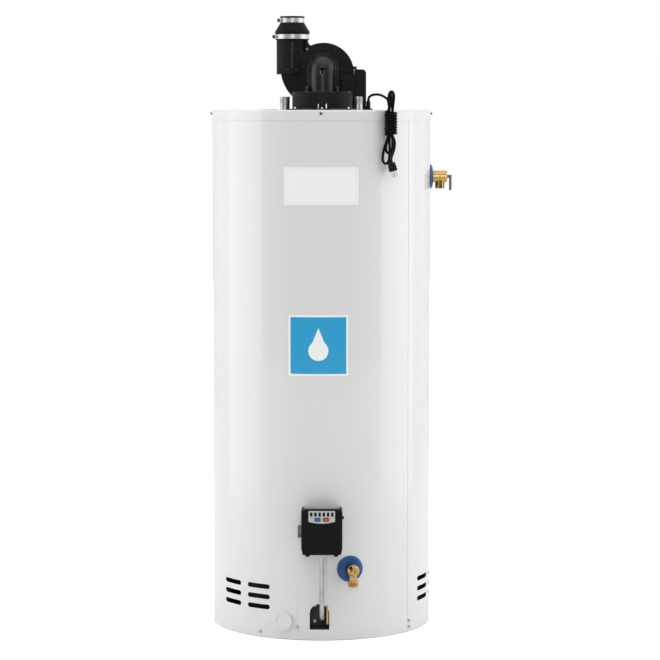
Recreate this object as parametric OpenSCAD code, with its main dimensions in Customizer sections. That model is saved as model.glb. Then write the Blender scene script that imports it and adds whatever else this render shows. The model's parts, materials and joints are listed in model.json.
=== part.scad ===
// Gas tank water heater with a power vent, about 227 litres (60 US gallons).
// Millimetres, Z up, front towards -Y. The origin is the middle of the base, on the floor.

/* [Jacket] */
// Height of the top cover's flat top above the floor
top_h = 1437; // [1300:1:1600]
// Outer diameter of the jacket sheet
jacket_d = 608; // [590:1:640]
// Thickness of the jacket sheet
jacket_t = 1.0; // [0.8:0.1:1.6]
// Gap between the floor and the jacket's lower edge
jacket_lift = 1.0; // [0.5:0.1:3]
// Width of the lap seam, as an angle
seam_arc = 2.4; // [1:0.1:4]
// How far the lap seam stands out
seam_proud = 0.5; // [0.3:0.05:0.8]

/* [Base pan and top cover] */
// Sheet thickness of the base pan
pan_t = 1.2; // [0.8:0.1:2]
// Height of the base pan's rim
pan_h = 26; // [15:1:40]
// Gap between the pan's rim and the jacket
pan_gap = 0.4; // [0.3:0.1:1]
// Sheet thickness of the top cover
cover_t = 1.2; // [0.8:0.1:2]
// Depth of the top cover's skirt
skirt_h = 28; // [20:1:40]
// Radius of the top cover's rim
rim_r = 4.5; // [2:0.5:8]

/* [Air slots] */
// Length of each air slot
slot_l = 74; // [50:1:80]
// Height of each air slot
slot_h = 13; // [8:0.5:16]
// Height of the lowest row
slot_z = 85; // [70:1:100]
// Distance between rows
slot_pitch = 28; // [20:0.5:34]
// Angle between the two columns of a group
slot_step = 19; // [17:0.5:24]

/* [Tank] */
// Thickness of the foam between the tank and the jacket
foam_t = 50; // [44:1:60]
// Thickness of the tank shell
tank_t = 2.6; // [2:0.1:4]
// From the top cover down to the tank shell's top edge
tank_gap = 77; // [64:1:100]
// Height where the bottom head meets the shell
tank_floor_z = 176; // [168:1:178]
// Rise of the two domed heads
dome_h = 40; // [30:1:46]
// Outer diameter of the flue tube
flue_d = 76.2; // [70:0.1:82]
// Thickness of the flue tube
flue_t = 2.0; // [1.5:0.1:3]
// Diameter of the anode rod
anode_d = 19; // [16:0.5:22]
// Length of the anode rod inside the tank
anode_l = 900; // [600:10:1050]
// Length of the dip tube
dip_l = 980; // [700:10:1080]

/* [Water nipples] */
// Outer diameter of the water nipples
nipple_d = 26.7; // [21.3:0.1:33.4]
// Bore of the water nipples
nipple_bore = 20.4; // [15:0.1:23]
// Distance from the middle to each nipple
nipple_x = 101.6; // [98:0.1:115]
// Height of the nipples above the top cover
nipple_up = 37; // [30:1:60]

/* [Burner and access] */
// Width of the access opening in the jacket
arch_w = 53; // [46:1:60]
// Height of the access opening's top
arch_top = 100.5; // [95:0.5:110]
// Height of the access opening's sill
arch_low = 30; // [27.5:0.5:36]
// Sideways position of the access opening
arch_x = -4.5; // [-8:0.5:0]
// Thickness of the opening's lining
liner_t = 1.0; // [0.8:0.1:1.4]
// How far the inner door stands out of the tank's skirt
door_t = 1.5; // [1:0.1:2.5]
// Diameter of the burner head
burner_d = 210; // [150:1:260]
// Outer diameter of the side port's cap
port_cap_d = 51; // [44:1:58]
// How far the side port's cap stands out
port_cap_h = 9; // [6:0.5:14]

/* [Labels] */
// Half the angle that the upper label covers
label_arc = 19.2; // [12:0.1:26]
// Height of the upper label
label_h = 100.5; // [60:0.5:140]
// From the top cover down to the upper label's lower edge
label_drop = 253.5; // [190:0.5:330]
// Width of the lower label
tag_w = 161; // [120:1:180]
// Height of the lower label
tag_h = 164; // [120:1:190]
// From the top cover down to the lower label's lower edge
tag_drop = 714; // [640:1:780]
// Thickness of the labels
label_t = 0.3; // [0.2:0.05:0.6]

/* [Gas control] */
// Width of the gas control's cover
ctl_w = 110; // [104:1:124]
// Height of the gas control's cover
ctl_h = 123; // [118:1:132]
// Height of the cover's lower edge
ctl_z = 251; // [225:1:300]
// Sideways position of the gas control
ctl_x = 2; // [0:0.5:4]
// Distance from the jacket to the cover's front
ctl_out = 92; // [88:1:104]
// Depth of the cover
ctl_depth = 64; // [60:1:72]
// Wall of the cover
ctl_wall = 2.4; // [1.8:0.1:3]
// Chamfer of the cover's front edge
ctl_bevel = 2.5; // [2:0.5:3]
// Wall radius of the threaded gas inlet
inlet_r = 9.6; // [8:0.1:11]
// Outer diameter of the gas inlet boss
inlet_d = 33.5; // [28:0.5:35]
// Width of the display panel
panel_w = 71; // [70:0.2:80]
// Height of the display panel
panel_h = 34; // [33:0.5:38]
// Number of status windows
window_n = 6; // [4:1:6]
// Width of a status window
window_w = 7; // [5:0.5:8]
// Height of a status window
window_h = 12; // [9:0.5:13]
// Width of a setting button
button_w = 16; // [12:0.5:17]
// Height of a setting button
button_h = 10; // [7:0.5:10.5]
// Gap around each button
button_gap = 0.4; // [0.3:0.05:0.6]
// Distance between the two buttons
button_step = 23; // [22:0.5:27]
// Travel of each button
button_travel = 0.8; // [0.5:0.1:1.2]

/* [Manifold] */
// Outer diameter of the gas tube
gas_d = 12.7; // [9.5:0.1:14]
// Bend radius of the gas tube
gas_bend = 24; // [20:1:30]
// Height where the gas tube enters the access opening
gas_z = 62; // [56:1:68]
// Diameter of the igniter cable
ign_d = 4.6; // [3:0.1:6]

/* [Drain valve] */
// Angle of the drain valve, from the front
drain_a = 14.9; // [12:0.1:24]
// Height of the drain valve
drain_z = 196; // [190:1:206]
// Diameter of the blue ring behind each valve
ring_d = 72; // [60:1:80]
// Outer diameter of the hose outlet
hose_d = 26.4; // [24:0.1:28]
// Bore of the drain valve
drain_bore = 12; // [10:0.5:15]
// Diameter of the drain valve's stem
stem_d = 8; // [6:0.5:9]
// Running clearance around turning stems and shafts
run_gap = 0.06; // [0.02:0.01:0.1]

/* [Relief valve] */
// From the top cover down to the relief valve's axis
relief_drop = 185.3; // [150:0.1:230]
// Wall radius of the relief valve's outlet
relief_r = 9.6; // [8:0.1:11]
// Outer diameter of the relief valve's body
relief_d = 33; // [30:0.5:38]
// Length of the test lever
lever_l = 46; // [36:1:56]
// Width of the test lever
lever_w = 14; // [11:0.5:18]

/* [Blower] */
// Height of the fan's axis above the top cover
fan_up = 104; // [102:1:112]
// Sideways position of the fan's axis
fan_x = 2; // [0:0.5:4]
// Distance of the fan housing's front behind the middle
scroll_y = 45; // [44:0.5:52]
// Depth of the fan housing
scroll_w = 70; // [60:1:80]
// Wall of the fan housing
scroll_t = 2.5; // [2:0.1:3.5]
// Outer diameter of the fan wheel
wheel_d = 124; // [100:1:134]
// Number of fan blades
blade_n = 24; // [12:1:32]
// Diameter of the fan shaft
shaft_d = 6.35; // [5:0.05:8]
// Outer diameter of the vent outlet
vent_d = 88.9; // [80:0.1:90]
// Sideways position of the vent outlet
vent_x = -82; // [-84:0.5:-80]
// Height of the vent outlet's top above the cover
vent_up = 215; // [210:1:240]
// Diameter of the flue collector drum
drum_d = 168; // [150:1:176]
// Height of the flue collector drum
drum_h = 50; // [40:1:54]
// Width of the intake hood
hood_w = 87; // [76:1:96]
// Thickness of the hood's lip against the fan housing
hood_lip = 5; // [3:0.5:8]
// Diameter of the motor
motor_d = 84; // [70:1:96]

/* [Vent coupling] */
// Inner radius of the coupling's upper end
pipe_r = 30.2; // [24:0.1:33]
// Height of the coupling above the vent outlet's shoulder
coupling_h = 66; // [60:1:80]
// Wall of the rubber coupling
rubber_t = 3.0; // [2.4:0.1:4]
// Thickness of the clamp bands
band_t = 0.8; // [0.6:0.1:1.2]
// Width of the clamp bands
band_w = 12.5; // [10:0.5:14]

/* [Control box] */
// Width of the control box
box_w = 33; // [30:1:36]
// Depth of the control box
box_l = 60; // [50:1:64]
// Height of the control box
box_h = 110; // [90:1:120]
// Sideways position of the box's left side
box_x = 92; // [92:0.5:98]

/* [Power cord] */
// Diameter of the power cord
cord_d = 7; // [5:0.1:8]
// Width of the tied hank
hank_w = 35; // [30:1:38]
// Thickness of the tied hank
hank_t = 35; // [30:1:38]
// Angle of the hank, from the front
hank_a = 35.5; // [30:0.5:42]

/* [Hidden] */
$fn = 96;
// Facets of everything as wide as the jacket or the tank.
wide = 360;

jr = jacket_d / 2;
inner_r = jr - jacket_t;
cover_r = jr + cover_t;
tank_r = jr - foam_t;
tank_top_z = top_h - tank_gap;
// Heights of the foam's lower end and of the burner head.
foam_low = tank_floor_z - 20;
burner_z = 96;
mid_arch_z = arch_top - arch_w / 2;
body_y = -(jr + 2);
ctl_front = -(jr + ctl_out);
ctl_back = ctl_front + ctl_depth;
ctl_mid_z = ctl_z + ctl_h / 2;
spud_z = ctl_z + 63.5;
body_d = 50;
gas_y = body_y - body_d / 2;
inlet_z = ctl_mid_z - 8;
panel_z = ctl_z + ctl_h - 3.5 - panel_h;
fan_z = top_h + fan_up;
scroll_back = scroll_y + scroll_w;
vent_y = scroll_y + scroll_w / 2;
vent_z = top_h + vent_up;
drum_y = -20;
seam_z = fan_z + 9;
coupling_z = vent_z - 19;
coupling_top = coupling_z + coupling_h;
upper_r = pipe_r + rubber_t;
group_a = [-44, 77.5, 197];
// Angles round the jacket: its lap seam, a pressed bead, the side port and the screws by the base.
seam_a = 52.6;
bead_a = -12.3;
port_a = -19.6;
port_z = 51;
pan_screws = [[-33.4, 16], [seam_a, 15], [147, 16], [-127, 16]];
seam_screws = [[seam_a, 32], [bead_a, 34.8]];
// The test lever's pin: its distance from the middle and its diameter.
lever_out = jr + 52.5;
pin_d = 2.4;
// Height of the relief valve and of the labels' lower edges, and the lower label's sideways position.
relief_z = top_h - relief_drop;
label_z = top_h - label_drop;
tag_z = top_h - tag_drop;
tag_x = -7.3;
ign_x = ctl_x + 15;
door_screw_z = [44, 88];
door_screw_a = -4;
box_y = 22;
gland_y = 12;

// Turns a piece from the front to an angle round the jacket.
module around(a) { rotate([0, 0, a]) children(); }
// Lays a flat outline against the front, its height along Z, from radius r1 out to r2.
module outward(r1, r2) { translate([0, -r1, 0]) rotate([90, 0, 0]) linear_extrude(height = r2 - r1) children(); }
// A cylinder pointing forward, from radius r1 out to r2.
module peg(d, r1, r2) { translate([0, -r1, 0]) rotate([90, 0, 0]) cylinder(d = d, h = r2 - r1); }
// A flat oval.
module oval(w, h) {
    k = min(w, h);
    square([max(w - k, 0.01), h < w ? k : k * 0.8], center = true);
    square([w > h ? k * 0.8 : k, max(h - k, 0.01)], center = true);
    for (s = [-1, 1]) translate([w > h ? s * (w - k) / 2 : 0, w > h ? 0 : s * (h - k) / 2]) circle(d = k);
}
// A rectangle with round corners, from corner [0, 0].
module slab(w, h, r) {
    translate([r, 0]) square([w - 2 * r, h]);
    translate([0, r]) square([w, h - 2 * r]);
    for (x = [r, w - r], y = [r, h - r]) translate([x, y]) circle(r = r);
}
// A hexagon head with its washer, pointing forward from radius r.
module screw_head(d, r) {
    peg(d, r - 1, r + 1.2);
    translate([0, -r - 1, 0]) rotate([90, 0, 0]) linear_extrude(height = 3) circle(d = d * 0.78, $fn = 6);
}

// ---- Jacket, base and cover ----

module base_pan() {
    r = inner_r - pan_gap;
    color([0.3, 0.31, 0.32]) difference() {
        rotate_extrude($fn = wide) polygon([[0, 0], [r, 0], [r, pan_h], [r - pan_t, pan_h], [r - pan_t, pan_t], [0, pan_t]]);
        for (p = pan_screws)
            around(p[0]) translate([0, 0, p[1]]) peg(4.8, inner_r - 20, jr + 20);
    }
}

// The arch of the access opening, grown by g.
module arch(g) {
    translate([arch_x, mid_arch_z]) circle(d = arch_w + 2 * g);
    translate([arch_x - arch_w / 2 - g, arch_low - g]) square([arch_w + 2 * g, mid_arch_z - arch_low + g]);
}

module jacket() {
    color([0.93, 0.93, 0.92]) difference() {
        union() {
            translate([0, 0, jacket_lift]) cylinder(r = jr, h = top_h - rim_r - 0.5 - jacket_lift, $fn = wide);
            around(seam_a - seam_arc / 2 - 90) rotate_extrude(angle = seam_arc, $fn = wide)
                translate([jr - 0.5, jacket_lift]) square([0.5 + seam_proud, top_h - skirt_h - jacket_lift - 1]);
            around(bead_a - 90.3) rotate_extrude(angle = 0.5, $fn = wide)
                translate([jr - 0.5, 38]) square([1, 110]);
        }
        translate([0, 0, -1]) cylinder(r = inner_r, h = top_h + 2, $fn = wide);
        for (g = group_a, c = [-1, 1], n = [0:2]) around(g + c * slot_step / 2)
            outward(inner_r - 20, jr + 20) translate([0, slot_z + n * slot_pitch]) oval(slot_l, slot_h);
        outward(inner_r - 20, jr + 20) arch(0);
        around(port_a) translate([0, 0, port_z]) peg(22, inner_r - 20, jr + 20);
        translate([ctl_x, 0, spud_z]) peg(46, inner_r - 20, jr + 20);
        around(drain_a) translate([0, 0, drain_z]) peg(46, inner_r - 20, jr + 20);
        around(90) translate([0, 0, relief_z]) peg(46, inner_r - 20, jr + 20);
        jacket_screw_places() peg(4.8, inner_r - 20, jr + 20);
        cover_screw_places() peg(4.8, inner_r - 20, jr + 20);
    }
}

module jacket_screw_places() {
    for (p = concat(pan_screws, seam_screws))
        around(p[0]) translate([0, 0, p[1]]) children();
}

module cover_screw_places() {
    for (a = [0, 90, 180, 270]) around(a) translate([0, 0, top_h - 10]) children();
}

// A screw whose head is seated on a round wall of radius r round Z, its shank reaching in by l.
module seated_screw(d, r, l) {
    difference() {
        screw_head(d, r);
        translate([0, 0, -200]) cylinder(r = r, h = 400, $fn = wide);
    }
    peg(4.2, r - l, r);
}

module sheet_screws() {
    color([0.45, 0.46, 0.48]) {
        jacket_screw_places() seated_screw(9, jr + seam_proud, 6);
        cover_screw_places() seated_screw(8, cover_r, 6);
        for (z = door_screw_z) around(door_screw_a) translate([0, 0, z]) seated_screw(9, tank_r + door_t, 8);
    }
}

module foam_insulation() {
    color([0.87, 0.8, 0.55]) difference() {
        translate([0, 0, foam_low]) cylinder(r = inner_r - 0.4, h = top_h - rim_r - 2 - foam_low, $fn = wide);
        translate([0, 0, foam_low - 6]) cylinder(r = tank_r, h = tank_top_z - foam_low + 6, $fn = wide);
        intersection() {
            translate([0, 0, tank_top_z - 0.1]) cylinder(r = tank_r, h = 100, $fn = wide);
            translate([0, 0, tank_top_z + dome_h + 2 - head_r()]) sphere(r = head_r());
        }
        translate([0, 0, tank_top_z]) cylinder(d = flue_d + 1, h = 2 * tank_gap);
        for (x = [-1, 1]) translate([x * nipple_x, 0, tank_top_z]) cylinder(d = 44, h = 2 * tank_gap);
        translate([anode_place()[0], anode_place()[1], tank_top_z]) cylinder(d = 44, h = 2 * tank_gap);
        translate([ctl_x, 0, spud_z]) peg(46, 200, jr + 20);
        around(drain_a) translate([0, 0, drain_z]) peg(46, 200, jr + 20);
        around(90) translate([0, 0, relief_z]) peg(46, 200, jr + 20);
        cover_screw_places() peg(6, inner_r - 20, jr + 20);
    }
}

function anode_place() = [-150, 96];
function head_r() = (pow(tank_r, 2) + pow(dome_h, 2)) / (2 * dome_h);

// Half of the cover's section, out to radius r and up to height z with corner radius c.
module rim_outline(r, z, c) {
    translate([0, top_h - skirt_h]) square([r, z - c - top_h + skirt_h]);
    translate([0, z - c - 1]) square([r - c, c + 1]);
    translate([r - c, z - c]) circle(r = c);
}

module top_cover() {
    color([0.92, 0.92, 0.91]) difference() {
        rotate_extrude($fn = wide) difference() {
            rim_outline(cover_r, top_h, rim_r);
            translate([0, -1]) rim_outline(jr, top_h - cover_t + 1, rim_r - cover_t);
        }
        for (x = [-1, 1]) translate([x * nipple_x, 0, top_h - 20]) cylinder(d = nipple_d + 5, h = 40);
        translate([anode_place()[0], anode_place()[1], top_h - 20]) cylinder(d = 42, h = 40);
        translate([0, 0, top_h - 20]) cylinder(d = flue_d + 1, h = 40);
        cover_screw_places() peg(4.8, inner_r - 20, jr + 20);
    }
}

// ---- Tank ----

module tank_shell() {
    color([0.25, 0.27, 0.3]) difference() {
        union() {
            translate([0, 0, 27]) cylinder(r = tank_r, h = tank_top_z - 27, $fn = wide);
            translate([ctl_x, 0, spud_z]) peg(40, tank_r - 8, tank_r + 12);
            around(drain_a) translate([0, 0, drain_z]) peg(34, tank_r - 8, tank_r + 8);
            around(90) translate([0, 0, relief_z]) peg(40, tank_r - 8, tank_r + 12);
        }
        translate([0, 0, 20]) cylinder(r = tank_r - tank_t, h = tank_top_z, $fn = wide);
        translate([ctl_x, 0, spud_z]) peg(26, tank_r - 30, tank_r + 30);
        around(drain_a) translate([0, 0, drain_z]) peg(20, tank_r - 30, tank_r + 30);
        around(90) translate([0, 0, relief_z]) peg(26, tank_r - 30, tank_r + 30);
        outward(tank_r - 40, tank_r + 30) arch(0);
    }
}

// A thin dome between two spheres, its rim at z, with a collar of height c below the rim.
module dome(z, c) {
    r = tank_r - tank_t;
    rotate_extrude() {
        intersection() {
            translate([0, z]) square([r, dome_h + 5]);
            difference() {
                translate([0, z + dome_h - (r * r + dome_h * dome_h) / (2 * dome_h)])
                    circle(r = (r * r + dome_h * dome_h) / (2 * dome_h), $fn = 720);
                translate([0, z + dome_h - 3 - (r * r + dome_h * dome_h) / (2 * dome_h)])
                    circle(r = (r * r + dome_h * dome_h) / (2 * dome_h), $fn = 720);
            }
        }
        translate([r - 3, z - c]) square([3, c + 0.5]);
    }
}

module tank_top_head() {
    color([0.27, 0.28, 0.3]) difference() {
        union() {
            dome(tank_top_z, 20);
            for (x = [-1, 1]) translate([x * nipple_x, 0, tank_top_z + 22]) cylinder(d = 40, h = 26);
            translate([anode_place()[0], anode_place()[1], tank_top_z + 12]) cylinder(d = 38, h = 28);
        }
        for (x = [-1, 1]) translate([x * nipple_x, 0, tank_top_z]) cylinder(d = nipple_d + 1, h = 80);
        translate([anode_place()[0], anode_place()[1], tank_top_z]) cylinder(d = 26, h = 80);
        translate([0, 0, tank_top_z]) cylinder(d = flue_d, h = 80);
    }
}

module tank_bottom_head() {
    color([0.27, 0.28, 0.3]) difference() {
        dome(tank_floor_z, 12);
        translate([0, 0, tank_floor_z]) cylinder(d = flue_d, h = 80);
    }
}

module flue_tube() {
    color([0.3, 0.3, 0.32]) difference() {
        translate([0, 0, tank_floor_z + dome_h - 8]) cylinder(d = flue_d, h = top_h - tank_floor_z - dome_h + 16);
        translate([0, 0, 100]) cylinder(d = flue_d - 2 * flue_t, h = top_h);
    }
}

module flue_baffle() {
    w = flue_d - 2 * flue_t - 2;
    color([0.42, 0.4, 0.38]) {
        translate([-w / 2, -0.8, tank_floor_z + dome_h]) cube([w, 1.6, top_h + 9 - tank_floor_z - dome_h]);
        for (n = [0:12]) translate([n % 2 == 0 ? -w / 4 : w / 4, n % 2 == 0 ? 0.8 : -0.8, tank_floor_z + 124 + n * (tank_top_z - tank_floor_z - 248) / 12])
            rotate([n % 2 == 0 ? -35 : 35, 0, 0]) translate([-8, n % 2 == 0 ? -1 : -20, 0]) cube([16, 21, 1.6]);
        translate([-flue_d / 2 - 4, -0.8, top_h + 8]) cube([flue_d + 8, 1.6, 4]);
    }
}

module anode_rod() {
    translate([anode_place()[0], anode_place()[1], 0]) color([0.6, 0.61, 0.62]) {
        translate([0, 0, tank_top_z - anode_l]) cylinder(d = anode_d, h = anode_l);
        translate([0, 0, tank_top_z]) cylinder(d = 26, h = 40);
        translate([0, 0, tank_top_z + 40]) cylinder(d = 31, h = 14, $fn = 6);
    }
}

module anode_access_cap() {
    translate([anode_place()[0], anode_place()[1], 0]) color([0.88, 0.88, 0.87]) difference() {
        union() {
            translate([0, 0, top_h]) cylinder(d = 50, h = 1.6);
            translate([0, 0, top_h - 8]) cylinder(d = 41.2, h = 8);
        }
        translate([0, 0, top_h - 9]) cylinder(d = 37, h = 9);
    }
}

module nipple() {
    difference() {
        union() {
            translate([0, 0, tank_top_z + 20]) cylinder(d = nipple_d + 1, h = top_h + 2 - tank_top_z - 20);
            translate([0, 0, tank_top_z + 30]) cylinder(d = nipple_d, h = top_h + nipple_up - 1 - tank_top_z - 30);
            translate([0, 0, tank_top_z + 30]) cylinder(d = nipple_d - 2, h = top_h + nipple_up - tank_top_z - 30);
        }
        translate([0, 0, tank_top_z]) cylinder(d = nipple_bore, h = 200);
    }
}

module cold_nipple() { color([0.72, 0.73, 0.74]) translate([-nipple_x, 0, 0]) nipple(); }
module hot_nipple() { color([0.72, 0.73, 0.74]) translate([nipple_x, 0, 0]) nipple(); }

module dip_tube() {
    color([0.9, 0.9, 0.86]) translate([-nipple_x, 0, 0]) difference() {
        union() {
            translate([0, 0, tank_top_z + 20 - dip_l]) cylinder(d = nipple_bore - 1.4, h = dip_l);
            translate([0, 0, tank_top_z + 18]) cylinder(d = nipple_d - 1, h = 2);
        }
        translate([0, 0, tank_top_z - dip_l]) cylinder(d = nipple_bore - 5, h = dip_l + 40);
    }
}

// ---- Burner and access ----

module flame_arrestor() {
    color([0.5, 0.5, 0.5]) difference() {
        translate([0, 0, 29]) cylinder(r = tank_r - tank_t, h = 3, $fn = wide);
        for (k = [1:4], n = [0:6 * k - 1]) rotate([0, 0, n * 60 / k + 15]) translate([k * 28, 0, 20])
            cylinder(d = 9, h = 20);
    }
}

module burner_head() {
    color([0.35, 0.35, 0.36]) difference() {
        translate([0, 0, burner_z]) rotate_extrude() polygon([[0, 0], [burner_d / 2 - 14, 0], [burner_d / 2, 8],
            [burner_d / 2, 14], [burner_d / 2 - 10, 20], [0, 20]]);
        for (n = [0:35]) rotate([0, 0, n * 10]) translate([burner_d / 2 - 20, 0, burner_z + 14]) cylinder(d = 3.6, h = 20);
        translate([ctl_x, 0, burner_z - 6]) cylinder(d = 23, h = 16);
    }
    color([0.35, 0.35, 0.36]) for (a = [30, 150, 270]) rotate([0, 0, a])
        translate([burner_d / 2 - 36, -3, 32]) cube([6, 6, burner_z - 32]);
    venturi();
}

// The mixing tube, from the gas jet at the door to under the burner head.
module venturi() {
    color([0.4, 0.4, 0.41]) translate([ctl_x, 0, gas_z]) difference() {
        union() {
            peg(30, -15, 90);
            cylinder(d = 27, h = burner_z + 1 - gas_z);
        }
        peg(26, -13, 95);
        cylinder(d = 23, h = burner_z + 4 - gas_z);
    }
}

module igniter() {
    color([0.85, 0.85, 0.8]) translate([ign_x, -burner_d / 2 - 12, 0]) {
        translate([0, 0, 80]) cylinder(d = 8, h = 34);
        translate([0, 0, 114]) cylinder(d = 2.4, h = 16);
        translate([-5, -5, 32]) cube([10, 10, 48]);
    }
}

module access_liner() {
    color([0.16, 0.16, 0.17]) difference() {
        outward(tank_r - 1, inner_r + 2) arch(liner_t + 0.4);
        outward(tank_r - 10, inner_r + 10) arch(0.4);
        cylinder(r = tank_r, h = 300, $fn = wide);
        difference() {
            translate([0, 0, -1]) cylinder(r = jr + 40, h = 300, $fn = wide);
            translate([0, 0, -2]) cylinder(r = inner_r, h = 310, $fn = wide);
        }
    }
}

module inner_door() {
    color([0.13, 0.13, 0.14]) difference() {
        intersection() {
            outward(tank_r - 12, tank_r + 4) arch(-0.4);
            difference() {
                cylinder(r = tank_r + door_t, h = 200, $fn = wide);
                translate([0, 0, -1]) cylinder(r = tank_r - tank_t, h = 210, $fn = wide);
            }
        }
        translate([ctl_x, 0, gas_z]) peg(gas_d + 0.6, tank_r - 30, tank_r + 20);
        translate([ign_x, 0, gas_z - 12]) peg(ign_d + 1.2, tank_r - 30, tank_r + 20);
        for (z = door_screw_z) around(door_screw_a) translate([0, 0, z]) peg(4.8, tank_r - 30, tank_r + 20);
    }
}

// The gas tube drops from the gas control and turns in through the access opening.
module manifold_tube() {
    color([0.78, 0.79, 0.8]) translate([ctl_x, 0, 0]) difference() {
        tube_run(gas_d, gas_bend, gas_z, 90);
        tube_run(gas_d - 2, gas_bend, gas_z, 80);
    }
    gas_nut();
}

// A run of tube that drops at gas_y, bends with radius b to height z and turns in as far as radius r.
module tube_run(d, b, z, r) {
    translate([0, gas_y, z + b]) cylinder(d = d, h = ctl_z + 13 - z - b);
    translate([0, gas_y + b, z + b]) rotate([-90, 0, 0]) rotate([0, 90, 0])
        rotate_extrude(angle = 90) translate([b, 0]) circle(d = d);
    translate([0, 0, z]) peg(d, r, -gas_y - b);
}

module gas_nut() {
    color([0.72, 0.62, 0.4]) translate([ctl_x, gas_y, 0]) difference() {
        union() {
            translate([0, 0, ctl_z - 9]) cylinder(d = 22, h = 13, $fn = 6);
            translate([0, 0, ctl_z - 16]) cylinder(d = 17, h = 7);
        }
        translate([0, 0, ctl_z - 30]) cylinder(d = gas_d, h = 60);
    }
}

module igniter_cable() {
    color([0.8, 0.45, 0.12]) {
        translate([ign_x, 0, 0]) tube_run(ign_d, 14, gas_z - 12, burner_d / 2 + 17);
    }
}

module side_port_cap() {
    color([0.92, 0.92, 0.91]) around(port_a) translate([0, 0, port_z]) {
        difference() {
            peg(port_cap_d, jr - 4, jr + port_cap_h);
            translate([0, 0, -100]) cylinder(r = jr, h = 200, $fn = wide);
            peg(port_cap_d - 12, jr + port_cap_h - 1.6, jr + port_cap_h + 1);
        }
        peg(21, jr - 9, jr + 1);
    }
}

// ---- Labels ----

// A sheet on the jacket between heights z1 and z2, cut to a flat outline.
module skin_label(r1, r2) {
    intersection() {
        difference() {
            cylinder(r = r2, h = top_h - 40, $fn = wide);
            translate([0, 0, -1]) cylinder(r = r1, h = top_h, $fn = wide);
        }
        outward(r1 - 60, r2 + 10) children();
    }
}

module front_label() {
    w = 2 * jr * sin(label_arc);
    color([0.95, 0.95, 0.94]) skin_label(jr, jr + label_t) translate([-w / 2, label_z]) slab(w, label_h, 5);
}

module blue_label() {
    color([0.15, 0.65, 0.87]) skin_label(jr, jr + label_t) translate([tag_x - tag_w / 2, tag_z]) slab(tag_w, tag_h, 3);
}

// ---- Drain valve ----

module valve_ring(d) {
    difference() {
        translate([0, -jr + 6, 0]) rotate([90, 0, 0]) rotate_extrude() polygon([[0, 0], [d / 2, 0], [d / 2, 6],
            [d / 2 - 2, 9.5], [d / 2 - 8, 12.5], [d / 2 - 17, 14], [0, 14]]);
        translate([0, 0, -200]) cylinder(r = jr, h = 400, $fn = wide);
        peg(27.4, jr - 40, jr + 40);
    }
}

module drain_ring() { color([0.12, 0.3, 0.6]) around(drain_a) translate([0, 0, drain_z]) valve_ring(ring_d); }

// The brass body runs out through the ring, then turns down to the hose thread.
module drain_valve_body() {
    color([0.8, 0.63, 0.32]) around(drain_a) translate([0, 0, drain_z]) difference() {
        union() {
            peg(26, jr - 34, jr + 20);
            peg(20, tank_r - 1, jr - 34);
            translate([0, -jr - 33, 0]) sphere(d = 34);
            translate([0, -jr - 33, -34]) cylinder(d = 21, h = 34);
            translate([0, -jr - 33, -44]) cylinder(d = hose_d, h = 16);
        }
        peg(drain_bore, 150, jr + 33);
        translate([0, -jr - 33, -60]) cylinder(d = drain_bore, h = 60);
        translate([0, -jr - 33, 0]) sphere(d = 19.6);
        peg(18, jr + 33, jr + 70);
    }
}

module drain_bonnet() {
    color([0.76, 0.6, 0.3]) around(drain_a) translate([0, 0, drain_z]) difference() {
        union() {
            peg(18, jr + 44, jr + 53);
            translate([0, -jr - 50, 0]) rotate([90, 0, 0]) cylinder(d = 23, h = 7, $fn = 6);
        }
        peg(stem_d + 2 * run_gap, jr + 30, jr + 80);
    }
}

module drain_stem() {
    color([0.7, 0.56, 0.3]) around(drain_a) translate([0, 0, drain_z]) difference() {
        union() {
            translate([0, -jr - 33, 0]) sphere(d = 18.8);
            peg(stem_d, jr + 38, jr + 61);
            peg(stem_d + 3, jr + 42.2, jr + 43.6);
        }
        translate([-8, -jr - 61.5, -0.8]) cube([16, 3.2, 1.6]);
        translate([0, -jr - 33, -20]) cylinder(d = drain_bore - 2, h = 40);
        peg(drain_bore - 2, jr + 20, jr + 33);
    }
}

// ---- Relief valve ----

module relief_ring() { color([0.12, 0.3, 0.6]) around(90) translate([0, 0, relief_z]) valve_ring(ring_d - 2); }

module relief_valve_body() {
    color([0.8, 0.63, 0.32]) around(90) translate([0, 0, relief_z]) difference() {
        union() {
            peg(26, tank_r - 12, jr + 16);
            peg(relief_d, jr + 9, jr + 44);
            translate([0, -jr - 27, -33]) cylinder(d = 26, h = 33);
        }
        peg(15, 150, jr + 20);
        translate([0, -jr - 27, -60]) cylinder(r = relief_r, h = 48);
        translate([0, -jr - 27, -20]) cylinder(d = 12, h = 20);
        peg(27, jr + 16, jr + 60);
    }
}

module relief_bonnet() {
    color([0.77, 0.6, 0.3]) around(90) translate([0, 0, relief_z]) difference() {
        union() {
            peg(27, jr + 38, jr + 44);
            peg(relief_d - 3, jr + 44, jr + 47);
            for (s = [-1, 1]) translate([s * 5.6 - 1.2, -lever_out, 0]) {
                translate([0, 0, -4]) cube([2.4, 8.5, 8]);
                rotate([0, 90, 0]) cylinder(d = 8, h = 2.4);
            }
        }
        peg(5 + 2 * run_gap, jr + 30, jr + 60);
        translate([-10, -lever_out, 0]) rotate([0, 90, 0]) cylinder(d = pin_d, h = 20);
    }
    lever_pin();
}

module relief_spring() {
    color([0.6, 0.61, 0.63]) around(90) translate([0, 0, relief_z]) {
        for (n = [0:6]) translate([0, -jr - 24.6 - n * 2, 0]) rotate([90, 0, 0])
            rotate_extrude() translate([9, 0]) circle(d = 2.2);
        difference() {
            peg(22, jr + 36.8, jr + 38);
            peg(14, jr + 30, jr + 40);
        }
    }
}

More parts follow.
